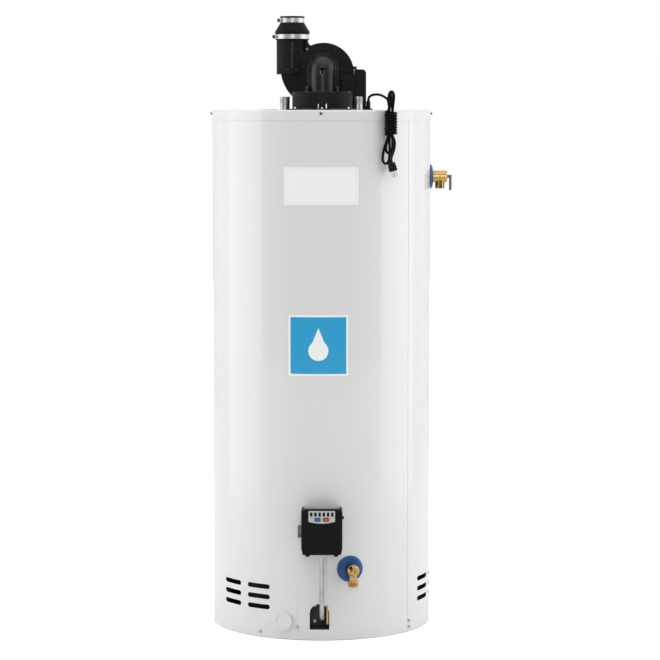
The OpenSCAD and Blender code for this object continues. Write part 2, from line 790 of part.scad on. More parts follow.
// The stem ends in a slotted blade, so it can slide past the lever's pin.
module relief_stem() {
    color([0.66, 0.66, 0.65]) around(90) translate([0, 0, relief_z]) difference() {
        union() {
            peg(20, jr + 16.3, jr + 19.5);
            peg(5, jr + 19, jr + 47.4);
            translate([-1.5, -lever_out - 3, -2.3]) cube([3, 8.4, 4.6]);
        }
        translate([-5, -lever_out - pin_d / 2 - 0.15, -pin_d / 2 - 0.2]) cube([10, pin_d + 3.3, pin_d + 0.4]);
    }
}

module relief_lever() {
    h = lever_w / 2 + 1.6;
    color([0.32, 0.33, 0.34]) around(90) translate([0, -lever_out, relief_z]) difference() {
        union() {
            translate([-h, -7, -lever_l + 8]) cube([2 * h, 2, lever_l - 3.5]);
            for (s = [-1, 1]) translate([s * (h - 0.75), 0, 0]) {
                rotate([0, 90, 0]) cylinder(d = 8.8, h = 1.5, center = true);
                translate([-0.75, -6, -4.4]) cube([1.5, 6, 8.8]);
                translate([-0.75, -6, -lever_l + 8]) cube([1.5, 5.5, lever_l - 8]);
            }
        }
        rotate([0, 90, 0]) cylinder(d = pin_d + 2 * run_gap, h = 60, center = true);
        translate([0, 0, -lever_l + 20]) rotate([90, 0, 0]) cylinder(d = 4, h = 20);
    }
}

module lever_pin() {
    h = lever_w / 2 + 2;
    color([0.66, 0.66, 0.67]) around(90) translate([-h, -lever_out, relief_z]) rotate([0, 90, 0])
        cylinder(d = pin_d, h = 2 * h);
}

// ---- Gas control ----

module gas_valve_body() {
    w = ctl_w - 10;
    color([0.62, 0.63, 0.64]) difference() {
        union() {
            translate([ctl_x - w / 2, body_y - body_d, ctl_z + 13]) cube([w, body_d, ctl_h - 25]);
            translate([ctl_x, 0, spud_z]) peg(26, tank_r - 6, jr + 3);
            translate([ctl_x, 0, spud_z]) peg(44, jr + 2 - 1, jr + 3);
            translate([ctl_x, 0, spud_z]) peg(12, tank_r - 130, tank_r - 5);
            translate([ctl_x, gas_y, ctl_z + 4]) cylinder(d = 20, h = 10);
            translate([ctl_x - ctl_w / 2 - 10, gas_y, inlet_z]) rotate([0, 90, 0]) cylinder(d = inlet_d, h = 16);
        }
        translate([ctl_x - ctl_w / 2 - 11, gas_y, inlet_z]) rotate([0, 90, 0]) cylinder(r = inlet_r, h = 26);
        translate([ctl_x, gas_y, ctl_z]) cylinder(d = gas_d, h = 13);
        translate([0, 0, -1]) cylinder(r = jr + 0.5, h = 10, $fn = wide);
    }
}

module ctl_outline(g) {
    w = ctl_w - 2 * g;
    translate([ctl_x - w / 2, ctl_z + g]) difference() {
        slab(w, ctl_h - 2 * g, 9);
        polygon([[-1, -1], [4, -1], [-1, 22]]);
        polygon([[w + 1, -1], [w - 4, -1], [w + 1, 22]]);
    }
}

function button_z() = panel_z + 10.5;
function window_z() = panel_z + panel_h - 9.5;

module panel_outline(g) {
    translate([ctl_x - panel_w / 2 - g, panel_z + 5 - g]) square([panel_w + 2 * g, panel_h - 5 + 2 * g]);
    intersection() {
        translate([ctl_x - panel_w / 2 - g, panel_z - g]) square([panel_w + 2 * g, 6 + g]);
        translate([ctl_x, panel_z + pow(panel_w, 2) / 40]) circle(r = pow(panel_w, 2) / 40 + g, $fn = 360);
    }
}

module button_places() { for (s = [-1, 1]) translate([ctl_x + s * button_step / 2, button_z()]) children(); }
// Lays a flat outline in the front plane, from depth y1 forward to y2.
module facing(y1, y2) { translate([0, y1, 0]) rotate([90, 0, 0]) linear_extrude(height = y1 - y2) children(); }

module gas_valve_cover() {
    color([0.13, 0.13, 0.14]) difference() {
        union() {
            facing(ctl_back, ctl_front) ctl_outline(0);
            for (s = [-1, 1]) translate([ctl_x + s * 38 - 6, ctl_front + 6, ctl_z - 5]) cube([12, 34, 8]);
        }
        facing(ctl_back + 1, ctl_front + ctl_wall) ctl_outline(ctl_wall);
        facing(ctl_front + 1, ctl_front - 1) panel_outline(0.15);
        facing(ctl_front + ctl_wall + 1, ctl_front - 1) button_places() oval(button_w + 2 * button_gap, button_h + 2 * button_gap);
        translate([ctl_x, gas_y, ctl_z - 10]) cylinder(d = 26, h = 20);
        translate([ctl_x - 13, gas_y - 5, ctl_z - 10]) cube([34, 45, 20]);
        translate([ctl_x - ctl_w / 2 - 20, gas_y, inlet_z]) rotate([0, 90, 0]) cylinder(d = inlet_d + 1, h = 30);
        translate([ctl_x - ctl_w / 2 - 20, gas_y, inlet_z - 0.5 - inlet_d / 2]) cube([30, 80, inlet_d + 1]);
        for (s = [-1, 1]) translate([ctl_x + s * ctl_w / 2, ctl_front, 0]) rotate([0, 0, 45])
            translate([-ctl_bevel / sqrt(2), -ctl_bevel / sqrt(2), 0]) cube([ctl_bevel * sqrt(2), ctl_bevel * sqrt(2), 600]);
        for (z = [ctl_z, ctl_z + ctl_h]) translate([0, ctl_front, z]) rotate([45, 0, 0])
            translate([-200, -ctl_bevel / sqrt(2), -ctl_bevel / sqrt(2)]) cube([400, ctl_bevel * sqrt(2), ctl_bevel * sqrt(2)]);
    }
    color([0.13, 0.13, 0.14]) {
        for (x = [-1, 1], z = [ctl_z + 26, ctl_z + ctl_h - 20]) translate([ctl_x + x * 40, 0, z])
            peg(7, -body_y + body_d, -ctl_front - ctl_wall);
        translate([ctl_x + ctl_w / 2 - 1, ctl_front + 26, ctl_mid_z + 36]) rotate([0, 90, 0]) cylinder(d = 9, h = 5);
    }
}

module control_board() {
    y = ctl_front + ctl_wall + 8;
    color([0.1, 0.3, 0.16]) difference() {
        union() {
            translate([ctl_x - ctl_w / 2 + 8, y, ctl_z + 20]) cube([ctl_w - 16, 1.6, ctl_h - 34]);
            for (s = [-1, 1]) translate([ctl_x + s * button_step / 2, y + 0.5, button_z()]) rotate([90, 0, 0])
                cylinder(d = 4, h = 3);
            translate([ctl_x - 22, y + 1, ctl_z + 30]) cube([44, 9, 26]);
        }
        for (x = [-1, 1], z = [ctl_z + 26, ctl_z + ctl_h - 20]) translate([ctl_x + x * 40, 0, z]) peg(7, 300, 420);
    }
}

module display_panel() {
    color([0.72, 0.76, 0.7]) difference() {
        facing(ctl_front + 1, ctl_front - 0.3) panel_outline(0);
        facing(ctl_front + 2, ctl_front - 1) button_places() oval(button_w + 2 * button_gap, button_h + 2 * button_gap);
        for (n = [0:window_n - 1]) facing(ctl_front + 0.4, ctl_front - 1)
            translate([ctl_x + (n - (window_n - 1) / 2) * 11.3, window_z()]) oval(window_w, window_h);
    }
}

module status_windows() {
    color([0.05, 0.05, 0.06]) for (n = [0:window_n - 1]) facing(ctl_front + 0.4, ctl_front - 0.2)
        translate([ctl_x + (n - (window_n - 1) / 2) * 11.3, window_z()]) oval(window_w, window_h);
}

module button(s) {
    translate([ctl_x + s * button_step / 2, 0, button_z()]) {
        facing(ctl_front + ctl_wall + 2, ctl_front - 1.8) oval(button_w, button_h);
        facing(ctl_front + ctl_wall + 3.5, ctl_front + ctl_wall + 0.4) oval(button_w + 3, button_h + 3);
    }
}
module cooler_button() { color([0.1, 0.3, 0.75]) button(-1); }
module warmer_button() { color([0.8, 0.12, 0.1]) button(1); }

// ---- Blower ----

// A cylinder on the fan's axis, between depths y1 and y2.
module on_fan(d, y1, y2) { translate([fan_x, y2, fan_z]) rotate([90, 0, 0]) cylinder(d = d, h = y2 - y1); }

// The flat spiral of the fan housing round the fan's axis, taken in by g: three arcs of growing radius,
// the outlet's box on the left and a hollow fillet up to the outlet.
module spiral(g) {
    ra = wheel_d / 2 + 23.5;
    rb = ra + 10.5;
    rc = rb + 14;
    x = 4 + ra - rb;
    intersection() {
        translate([4, -2]) circle(r = ra - g);
        translate([-39.5 + g, -2]) square([ra + 60, ra]);
    }
    intersection() {
        translate([x, -2]) circle(r = rb - g);
        translate([x, -2 - rb]) square([rb, rb]);
    }
    intersection() {
        translate([x, rc - rb - 2]) circle(r = rc - g);
        translate([x - rc, rc - rb - 2 - rc]) square([rc, rc]);
    }
    translate([x - rc + 7 + g, -2]) square([rc - 38, 60 - g]);
}

module outlet_fillet() {
    difference() {
        translate([-46, 50]) square([24, 41]);
        translate([-22, 91]) circle(r = 18);
    }
}

module fan_housing() {
    difference() {
        union() {
            translate([fan_x, scroll_back, fan_z]) rotate([90, 0, 0]) linear_extrude(height = scroll_w) {
                spiral(0);
                outlet_fillet();
            }
            translate([vent_x, vent_y, fan_z - 4]) cylinder(d = vent_d, h = vent_z - fan_z + 2);
            translate([vent_x, vent_y, fan_z]) cylinder(d = vent_d - 1, h = vent_z - fan_z);
            translate([vent_x - 3, vent_y - vent_d / 2 - 3, fan_z + 11]) cube([6, 6, vent_up - fan_up - 37]);
            translate([fan_x + wheel_d / 2 + 22, scroll_y, seam_z + 0.6]) cube([13, 12, 8]);
            for (x = [-40, 16]) translate([fan_x + x, scroll_y + 8, top_h + 3]) cube([12, scroll_w - 16, 12]);
        }
        translate([fan_x, scroll_back - scroll_t, fan_z]) rotate([90, 0, 0])
            linear_extrude(height = scroll_w - 2 * scroll_t) spiral(scroll_t);
        translate([vent_x, vent_y, fan_z + 30]) cylinder(d = vent_d - 5, h = vent_z);
        on_fan(hood_w - 14, scroll_y - 1, scroll_y + 10);
        on_fan(20, scroll_back - 10, scroll_back + 1);
        translate([vent_x + vent_d / 2, scroll_y - 1, seam_z - 0.6]) cube([127, 1.6, 1.2]);
        difference() {
            translate([vent_x - vent_d, vent_y - vent_d, seam_z - 0.6]) cube([2 * vent_d, vent_d - 25, 1.2]);
            translate([vent_x, vent_y, seam_z - 2]) cylinder(d = vent_d - 1.2, h = 4);
        }
    }
}

module fan_housing_lower() {
    color([0.14, 0.14, 0.15]) intersection() {
        fan_housing();
        translate([-300, -300, 0]) cube([600, 600, seam_z]);
    }
}

module fan_housing_upper() {
    color([0.14, 0.14, 0.15]) intersection() {
        fan_housing();
        translate([-300, -300, seam_z]) cube([600, 600, 600]);
    }
}

module flue_collector() {
    color([0.15, 0.15, 0.16]) difference() {
        union() {
            translate([-90, -112, top_h]) linear_extrude(height = 3) slab(181, 246, 10);
            intersection() {
                translate([fan_x + 1, drum_y, top_h]) cylinder(d = drum_d, h = drum_h);
                translate([-200, -200, top_h]) cube([400, 200 + scroll_y, 200]);
            }
        }
        intersection() {
            translate([fan_x + 1, drum_y, top_h + 3]) cylinder(d = drum_d - 5, h = drum_h - 6);
            translate([-200, -200, top_h]) cube([400, 200 + scroll_y - 3.1, 200]);
        }
        translate([0, 0, top_h - 5]) cylinder(d = flue_d, h = 20);
        for (x = [-1, 1]) translate([x * nipple_x, 0, top_h - 5]) cylinder(d = nipple_d + 8, h = 20);
        intersection() {
            translate([fan_x + 1, scroll_y - hood_lip, top_h + drum_h - 6]) cylinder(d = hood_w - 14, h = 10);
            translate([-200, -200, top_h]) cube([400, 200 + scroll_y - 5, 200]);
        }
    }
}

module hood_outline(g) {
    translate([fan_x + 1, fan_z + 12]) circle(d = hood_w - 2 * g);
    translate([fan_x + 1 - hood_w / 2 + g, top_h + drum_h]) square([hood_w - 2 * g, fan_up + 12 - drum_h]);
}

// A standing bullet of radius r, round above height h.
module bullet(r, h) {
    rotate_extrude() {
        square([r, h]);
        intersection() {
            translate([0, h]) circle(r = r);
            translate([0, h]) square([r, r]);
        }
    }
}

module intake_hood() {
    r = hood_w / 2 - 7;
    y = scroll_y - hood_lip;
    h = fan_up + 12 - drum_h;
    color([0.13, 0.13, 0.14]) {
        difference() {
            union() {
                facing(scroll_y, y) hood_outline(0);
                intersection() {
                    translate([fan_x + 1, y, top_h + drum_h]) bullet(r, h);
                    translate([-200, -200, 0]) cube([400, 200 + scroll_y - 1, 3000]);
                }
            }
            intersection() {
                translate([fan_x + 1, y, top_h + drum_h]) bullet(r - 2.5, h);
                translate([-200, -200, 0]) cube([400, 400, 3000]);
            }
            facing(scroll_y - 40, y - 80) translate([fan_x + 1, fan_z + 5]) {
                oval(9, 23);
                translate([0, 4]) oval(19, 8);
            }
        }
        for (s = [-1, 1]) translate([fan_x + 1 + s * (hood_w / 2 - 2), y - 16, top_h + drum_h]) cylinder(d = 12, h = 14);
    }
}

module housing_screws() {
    color([0.75, 0.75, 0.76]) {
        for (p = [[fan_x + 92, seam_z + 4.6], [fan_x - 42, fan_z + 66]])
            translate([p[0], scroll_y, p[1]]) rotate([90, 0, 0]) {
                cylinder(d = 7.6, h = 1.2);
                cylinder(d = 6, h = 4, $fn = 6);
            }
        for (p = [[-72, -100], [2, -108], [75, -100]]) translate([p[0], p[1], top_h + 3]) {
            cylinder(d = 7.4, h = 1.4);
            cylinder(d = 6.4, h = 4.6, $fn = 6);
        }
        for (x = [-11, 11]) translate([fan_x + 1 + x - 1.2, drum_y - drum_d / 2 - 3.4, top_h + 3]) cube([2.4, 2.6, 14]);
        for (s = [-1, 1]) translate([fan_x + 1 + s * (hood_w / 2 - 2), scroll_y - hood_lip - 16, top_h + drum_h + 14])
            cylinder(d = 7.6, h = 2.4);
    }
}

module fan_wheel() {
    r = wheel_d / 2;
    y1 = scroll_y + scroll_t + 9;
    y2 = scroll_back - scroll_t - 4;
    color([0.5, 0.51, 0.52]) {
        difference() {
            union() {
                on_fan(wheel_d, y2 - 2, y2);
                on_fan(20, y2 - 16, y2 + 1);
            }
            on_fan(shaft_d, y2 - 30, y2 + 20);
        }
        difference() {
            on_fan(wheel_d, y1, y1 + 2);
            on_fan(wheel_d - 22, y1 - 1, y1 + 3);
        }
        for (n = [0:blade_n - 1]) translate([fan_x, 0, fan_z]) rotate([0, n * 360 / blade_n, 0])
            translate([r - 10.5, y1 + 1, 0]) rotate([0, -28, 0]) translate([0, 0, -0.6]) cube([9.5, y2 - y1 - 2, 1.2]);
    }
}

module fan_shaft() {
    color([0.7, 0.7, 0.71]) {
        on_fan(shaft_d, scroll_y + 20, scroll_back + 78);
        on_fan(58, scroll_back + 16, scroll_back + 48);
    }
}

module cooling_fan() {
    y = scroll_back + 68;
    color([0.3, 0.3, 0.31]) {
        difference() {
            union() {
                on_fan(66, y, y + 1.6);
                on_fan(18, y, y + 9);
            }
            on_fan(shaft_d, y - 5, y + 30);
        }
        for (n = [0:6]) translate([fan_x, 0, fan_z]) rotate([0, n * 360 / 7, 0])
            translate([8, y + 1, -0.7]) cube([22, 7, 1.4]);
    }
}

module motor_body() {
    y = scroll_back + 8;
    color([0.35, 0.36, 0.37]) difference() {
        union() {
            on_fan(motor_d, y, y + 46);
            for (a = [45:90:315]) translate([fan_x, 0, fan_z]) rotate([0, a, 0]) translate([motor_d / 2 - 6, y + 1, 0])
                rotate([90, 0, 0]) cylinder(d = 8, h = 9);
        }
        on_fan(60, y + 4, y + 50);
        on_fan(shaft_d + 2 * run_gap, y - 5, y + 10);
    }
}

module motor_end() {
    y = scroll_back + 54;
    color([0.5, 0.51, 0.52]) difference() {
        union() {
            on_fan(motor_d, y, y + 3);
            on_fan(24, y, y + 9);
        }
        on_fan(shaft_d + 2 * run_gap, y - 5, y + 20);
        for (a = [0:60:300]) translate([fan_x, 0, fan_z]) rotate([0, a, 0]) translate([26, y - 1, 0]) rotate([-90, 0, 0])
            cylinder(d = 11, h = 6);
    }
}

// ---- Vent coupling ----

module vent_coupling() {
    lr = vent_d / 2;
    h = coupling_h;
    color([0.1, 0.1, 0.11]) translate([vent_x, vent_y, coupling_z]) difference() {
        rotate_extrude() polygon([[lr, 17], [lr, 0], [lr + rubber_t, 0], [lr + rubber_t, 1.5], [lr + rubber_t - 0.8, 2],
            [lr + rubber_t - 0.8, 16], [lr + rubber_t + 1.4, 18], [lr + rubber_t + 1.4, 23], [lr + rubber_t - 1, 27],
            [upper_r + 1.2, h - 19.5], [upper_r + 1.2, h - 18.5], [upper_r, h - 18], [upper_r, h - 5],
            [upper_r + 1.2, h - 4.6], [upper_r + 1.2, h], [pipe_r, h], [pipe_r, h - 33], [lr - 3, 21]]);
        translate([0, 0, -30]) cylinder(d = vent_d - 1, h = 49);
    }
}

// A band clamp of inner radius r, its worm housing on the left.
module clamp(r) {
    difference() {
        cylinder(r = r + band_t, h = band_w);
        translate([0, 0, -1]) cylinder(r = r, h = band_w + 2);
    }
    difference() {
        union() {
            translate([-r - 7, -8, 1.5]) cube([7.4, 16, band_w - 3]);
            translate([-r - 5.4, -12, band_w / 2]) rotate([90, 0, 0]) cylinder(d = 10.6, h = 5);
            translate([-r - 5.4, 9, band_w / 2]) rotate([90, 0, 0]) cylinder(d = 8.4, h = 22);
        }
        translate([0, 0, -1]) cylinder(r = r, h = band_w + 2);
        translate([-r - 5.4 - 0.6, -18, band_w / 2 - 4]) cube([1.2, 2.6, 8]);
    }
}

module coupling_clamps() {
    color([0.8, 0.81, 0.82]) translate([vent_x, vent_y, coupling_z]) {
        translate([0, 0, coupling_h - 17.7]) rotate([0, 0, 6]) clamp(upper_r);
        translate([0, 0, 2.6]) rotate([0, 0, 6]) clamp(vent_d / 2 + rubber_t - 0.8);
    }
}

// ---- Control box and cord ----

module control_box() {
    color([0.12, 0.12, 0.13]) translate([box_x, box_y, top_h]) difference() {
        union() {
            cube([box_w - 11, box_l, box_h + 3]);
            cube([box_w, box_l, box_h + 3 - 11]);
            translate([box_w - 11, box_l, box_h + 3 - 11]) rotate([90, 0, 0]) cylinder(r = 11, h = box_l);
            translate([4, -2.5, 3]) cube([box_w - 14, 4, box_h - 12]);
            translate([-34, 0, drum_h + 1.5]) cube([36, 3, box_h - drum_h - 14]);
            translate([-13, 0, 3.5]) cube([15, 3, box_h - 23.5]);
        }
        translate([2, 2, 2]) cube([box_w - 13, box_l - 4, box_h - 1]);
        translate([2, 2, 2]) cube([box_w - 4, box_l - 4, box_h - 12]);
    }
}

module cord_gland() {
    color([0.1, 0.1, 0.11]) translate([box_x + box_w, box_y + gland_y, top_h]) difference() {
        union() {
            translate([0, -8, 0]) cube([18, 16, 4]);
            translate([6.4, 0, 3]) cylinder(d = 12.4, h = 9);
            translate([6.4, 0, 11]) cylinder(d = 10.8, h = 14);
            translate([0, -5, 3]) cube([6, 10, 9]);
            for (n = [0:2]) translate([6.4, 0, 13.5 + n * 4]) cylinder(d = 12.4, h = 2);
        }
        translate([6.4, 0, 12]) cylinder(d = cord_d + 0.6, h = 20);
    }
}

function lead_points() = [for (p = [[131.4, 34, 12], [131.4, 34, 20], [131.4, 34, 26], [133, 28, 34.5], [140, 4, 40.5],
    [151, -55, 42.5], [161, -120, 41], [168, -185, 37.5], [172.6, -237, 33.5], [174.8, -251.6, 31.5]])
    [p[0], p[1], top_h + p[2]]];
// A point on the smooth curve through p, at segment i and share t.
function lead_at(p, i, t) =
    let (a = p[max(i - 1, 0)], b = p[i], c = p[i + 1], d = p[min(i + 2, len(p) - 1)])
    0.5 * (2 * b + (c - a) * t + (2 * a - 5 * b + 4 * c - d) * t * t + (3 * b - a - 3 * c + d) * t * t * t);
function unit(v) = v / norm(v);

// A round cord through the points p, with n rings in each stretch.
module cord_tube(p, d, n, sides) {
    q = [for (i = [0:len(p) - 2], k = [0:n - 1]) lead_at(p, i, k / n), p[len(p) - 1]];
    m = len(q);
    t = [for (i = [0:m - 1]) unit(q[min(i + 1, m - 1)] - q[max(i - 1, 0)])];
    ring = [for (i = [0:m - 1]) let (u = unit(cross(t[i], [1, 0, 0])), v = cross(u, t[i])) for (k = [0:sides - 1])
        q[i] + d / 2 * (cos(k * 360 / sides) * u + sin(k * 360 / sides) * v)];
    polyhedron(points = ring, faces = concat([[for (k = [0:sides - 1]) k]],
        [[for (k = [sides - 1:-1:0]) (m - 1) * sides + k]],
        [for (i = [0:m - 2], k = [0:sides - 1]) [i * sides + k, (i + 1) * sides + k, (i + 1) * sides + (k + 1) % sides]],
        [for (i = [0:m - 2], k = [0:sides - 1]) [i * sides + k, (i + 1) * sides + (k + 1) % sides, i * sides + (k + 1) % sides]]));
}

module power_cord_lead() { color([0.07, 0.07, 0.07]) cord_tube(lead_points(), cord_d, 5, 10); }

module hank_place() { around(hank_a) translate([0, -cover_r - 0.4, top_h]) children(); }

module power_cord_hank() {
    color([0.08, 0.08, 0.08]) hank_place() rotate([90, 0, 0]) linear_extrude(height = hank_t) {
        translate([1, 45]) circle(r = 11.5);
        translate([-10.5, -10]) square([23, 55]);
        translate([-hank_w / 2, -71]) slab(hank_w, 70, 5);
        translate([-24, -131.5]) square([37, 61.5]);
        translate([-14.2, -131]) circle(r = 9.8);
    }
}

// Places a piece of the plug, pointing down and a little to the right.
module plug_place() {
    hank_place() translate([-2.5, -hank_t / 2, -131]) rotate([0, 0, -hank_a]) rotate([0, -15, 0]) rotate([180, 0, 0])
        children();
}

module plug_body() {
    color([0.08, 0.08, 0.08]) plug_place() {
        cylinder(d = 11, h = 12);
        translate([-10, -9, 11]) cube([20, 18, 9]);
        translate([-11, -10, 19]) cube([22, 20, 15]);
    }
}

module plug_prongs() {
    color([0.78, 0.78, 0.78]) plug_place() {
        for (s = [-1, 1]) translate([s * 6.4 - 0.8, -3.2, 34]) cube([1.6, 6.4, 16]);
        translate([0, 5.6, 34]) cylinder(d = 4.8, h = 17);
    }
}

base_pan();
jacket();
sheet_screws();
foam_insulation();
top_cover();
tank_shell();
tank_top_head();
tank_bottom_head();
flue_tube();
flue_baffle();
anode_rod();
anode_access_cap();
dip_tube();
cold_nipple();
hot_nipple();
flame_arrestor();
burner_head();
igniter();
access_liner();
inner_door();
manifold_tube();
igniter_cable();
side_port_cap();
front_label();
blue_label();
drain_ring();
drain_valve_body();
drain_bonnet();
drain_stem();
relief_ring();
relief_valve_body();
relief_bonnet();
relief_spring();
relief_stem();
relief_lever();
gas_valve_body();
gas_valve_cover();
control_board();
display_panel();
status_windows();
cooler_button();
warmer_button();
flue_collector();
intake_hood();
fan_housing_lower();
fan_housing_upper();
housing_screws();
fan_wheel();
fan_shaft();
cooling_fan();
motor_body();
motor_end();
vent_coupling();
coupling_clamps();
control_box();
cord_gland();
power_cord_lead();
power_cord_hank();
plug_body();
plug_prongs();
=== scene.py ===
# Looks of a gas tank water heater with a power vent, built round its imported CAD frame.
# Metres, +Z up, the front towards -Y. Every new piece is a surface worked out with numpy.
import json
import math

import bpy
import numpy as np
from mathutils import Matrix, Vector


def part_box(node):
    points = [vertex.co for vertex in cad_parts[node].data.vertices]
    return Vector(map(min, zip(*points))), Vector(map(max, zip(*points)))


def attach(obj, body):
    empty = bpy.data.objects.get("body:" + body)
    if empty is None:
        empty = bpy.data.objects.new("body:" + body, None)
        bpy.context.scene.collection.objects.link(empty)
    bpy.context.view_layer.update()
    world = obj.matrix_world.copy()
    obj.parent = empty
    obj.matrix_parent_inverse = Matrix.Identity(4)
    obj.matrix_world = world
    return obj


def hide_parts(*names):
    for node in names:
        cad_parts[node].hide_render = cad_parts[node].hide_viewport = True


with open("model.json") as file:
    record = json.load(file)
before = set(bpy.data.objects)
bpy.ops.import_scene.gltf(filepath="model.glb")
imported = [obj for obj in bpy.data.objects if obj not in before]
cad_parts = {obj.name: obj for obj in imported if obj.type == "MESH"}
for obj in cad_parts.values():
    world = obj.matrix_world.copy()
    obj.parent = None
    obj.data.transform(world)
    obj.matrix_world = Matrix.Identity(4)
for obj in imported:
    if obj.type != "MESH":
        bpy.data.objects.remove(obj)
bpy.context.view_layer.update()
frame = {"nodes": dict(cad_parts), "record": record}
nodes = frame["nodes"]
print("frame loaded:", len(nodes), "nodes")


def middle(node):
    low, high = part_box(node)
    return (low + high) / 2


# Camera: in front, as high as the cover's top, tilted down.
camera = {"lens": 136.47, "sensor": 36.0, "place": (0.024, -7.005, 1.437), "tiltDown": 5.027,
          "clipEnd": 60}


def addCamera(values):
    data = bpy.data.cameras.new("viewCamera")
    data.lens = values["lens"]
    data.sensor_width = values["sensor"]
    data.clip_end = values["clipEnd"]
    eye = bpy.data.objects.new("viewCamera", data)
    eye.location = values["place"]
    eye.rotation_euler = (math.radians(90 - values["tiltDown"]), 0, 0)
    bpy.context.scene.collection.objects.link(eye)
    bpy.context.scene.camera = eye


addCamera(camera)


# Ways to make a surface.

def gridPiece(name, grid, body, capEnds=False):
    # grid[i, j] is the point at step i along the piece and step j round it; neighbours join into quads,
    # and the last step round joins the first.
    rows, columns = grid.shape[:2]
    number = np.arange(rows * columns).reshape(rows, columns)
    number = np.concatenate([number, number[:, :1]], axis=1)
    quads = np.stack([number[:-1, :-1], number[:-1, 1:], number[1:, 1:], number[1:, :-1]], axis=-1)
    quads = quads.reshape(-1, 4)
    corners = quads.reshape(-1)
    starts = np.arange(len(quads)) * 4
    if capEnds:
        ends = np.concatenate([number[0, :columns][::-1], number[-1, :columns]])
        starts = np.concatenate([starts, [len(corners), len(corners) + columns]])
        corners = np.concatenate([corners, ends])
    mesh = bpy.data.meshes.new(name)
    mesh.vertices.add(rows * columns)
    mesh.vertices.foreach_set("co", grid.reshape(-1).astype(np.float32))
    mesh.loops.add(len(corners))
    mesh.loops.foreach_set("vertex_index", corners.astype(np.int32))
    mesh.polygons.add(len(starts))
    mesh.polygons.foreach_set("loop_start", starts.astype(np.int32))
    mesh.polygons.foreach_set("use_smooth", np.full(len(starts), True))
    mesh.update(calc_edges=True)
    mesh.validate()
    piece = bpy.data.objects.new(name, mesh)
    bpy.context.scene.collection.objects.link(piece)
    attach(piece, body)
    return piece


def uvByLength(piece, columns, lengths):
    # UV: u is the turn round the piece from 0 to 1, v the distance along it in metres.
    mesh = piece.data
    vertex = np.zeros(len(mesh.loops), np.int32)
    mesh.loops.foreach_get("vertex_index", vertex)
    corner = np.arange(len(vertex)) % 4
    u = (vertex % columns) / columns
    wraps = (vertex % columns == 0) & ((corner == 1) | (corner == 2))
    uv = np.stack([np.where(wraps, 1.0, u), np.asarray(lengths)[vertex // columns]], axis=-1)
    layer = mesh.uv_layers.new(name="alongLength")
    layer.data.foreach_set("uv", uv.reshape(-1).astype(np.float32))


def smoothPath(points, spacing, stepsBetween=24):
    # A Catmull-Rom curve through the points: the cubic whose slope at a point is half its neighbours'
    # distance, then read off again at even steps of length.
    p = np.asarray(points, float)
    p = np.vstack([2 * p[0] - p[1], p, 2 * p[-1] - p[-2]])
    t = np.linspace(0, 1, stepsBetween, endpoint=False)[:, None, None]
    a, b, c, d = p[:-3], p[1:-2], p[2:-1], p[3:]
    curve = 0.5 * (2 * b + (c - a) * t + (2 * a - 5 * b + 4 * c - d) * t ** 2
                   + (3 * b - a - 3 * c + d) * t ** 3)
    curve = np.vstack([curve.transpose(1, 0, 2).reshape(-1, 3), p[-2]])
    run = np.concatenate([[0], np.cumsum(np.linalg.norm(np.diff(curve, axis=0), axis=1))])
    even = np.linspace(0, run[-1], int(run[-1] / spacing) + 2)
    return np.stack([np.interp(even, run, curve[:, k]) for k in range(3)], axis=-1), even


def tubeGrid(path, radius, sides, startSide=(0.3, 0.2, 0.93)):
    # A circle carried along the path: point = path(s) + radius (cos a normal + sin a binormal), a
    # right-handed frame that turns as little as it can from one step to the next.
    tangent = np.gradient(path, axis=0)
    tangent /= np.linalg.norm(tangent, axis=1)[:, None]
    normal = np.zeros_like(path)
    side = np.cross(tangent[0], startSide)
    for i, along in enumerate(tangent):
        side = side - along * np.dot(side, along)
        side = side / np.linalg.norm(side)
        normal[i] = side
    binormal = np.cross(tangent, normal)
    turn = np.linspace(0, 2 * math.pi, sides, endpoint=False)[None, :, None]
    wide = np.broadcast_to(np.asarray(radius, float), (len(path),))[:, None, None]
    ring = np.cos(turn) * normal[:, None, :] + np.sin(turn) * binormal[:, None, :]
    return path[:, None, :] + wide * ring


def acrossAxis(axis, aside):
    # The axis at length 1, and two directions square to it and to each other.
    axis = np.asarray(axis, float) / np.linalg.norm(axis)
    first = np.cross(axis, aside if abs(axis[1]) < 0.9 else (1, 0, 0))
    first /= np.linalg.norm(first)
    return axis, first, np.cross(axis, first)


def turnedGrid(profile, centre, axis, sides):
    # A profile of (radius, height) pairs turned round an axis:
    # centre + height axis + radius (cos a e1 + sin a e2).
    profile = np.asarray(profile, float)
    axis, first, second = acrossAxis(axis, (0.31, 0.95, 0.05))
    turn = np.linspace(0, 2 * math.pi, sides, endpoint=False)[None, :, None]
    return (np.asarray(centre, float) + profile[:, 1, None, None] * axis
            + profile[:, 0, None, None] * (np.cos(turn) * first + np.sin(turn) * second))


threadForm = {"sides": 72, "stepsPerPitch": 14, "steep": 1.5, "flat": 0.25}


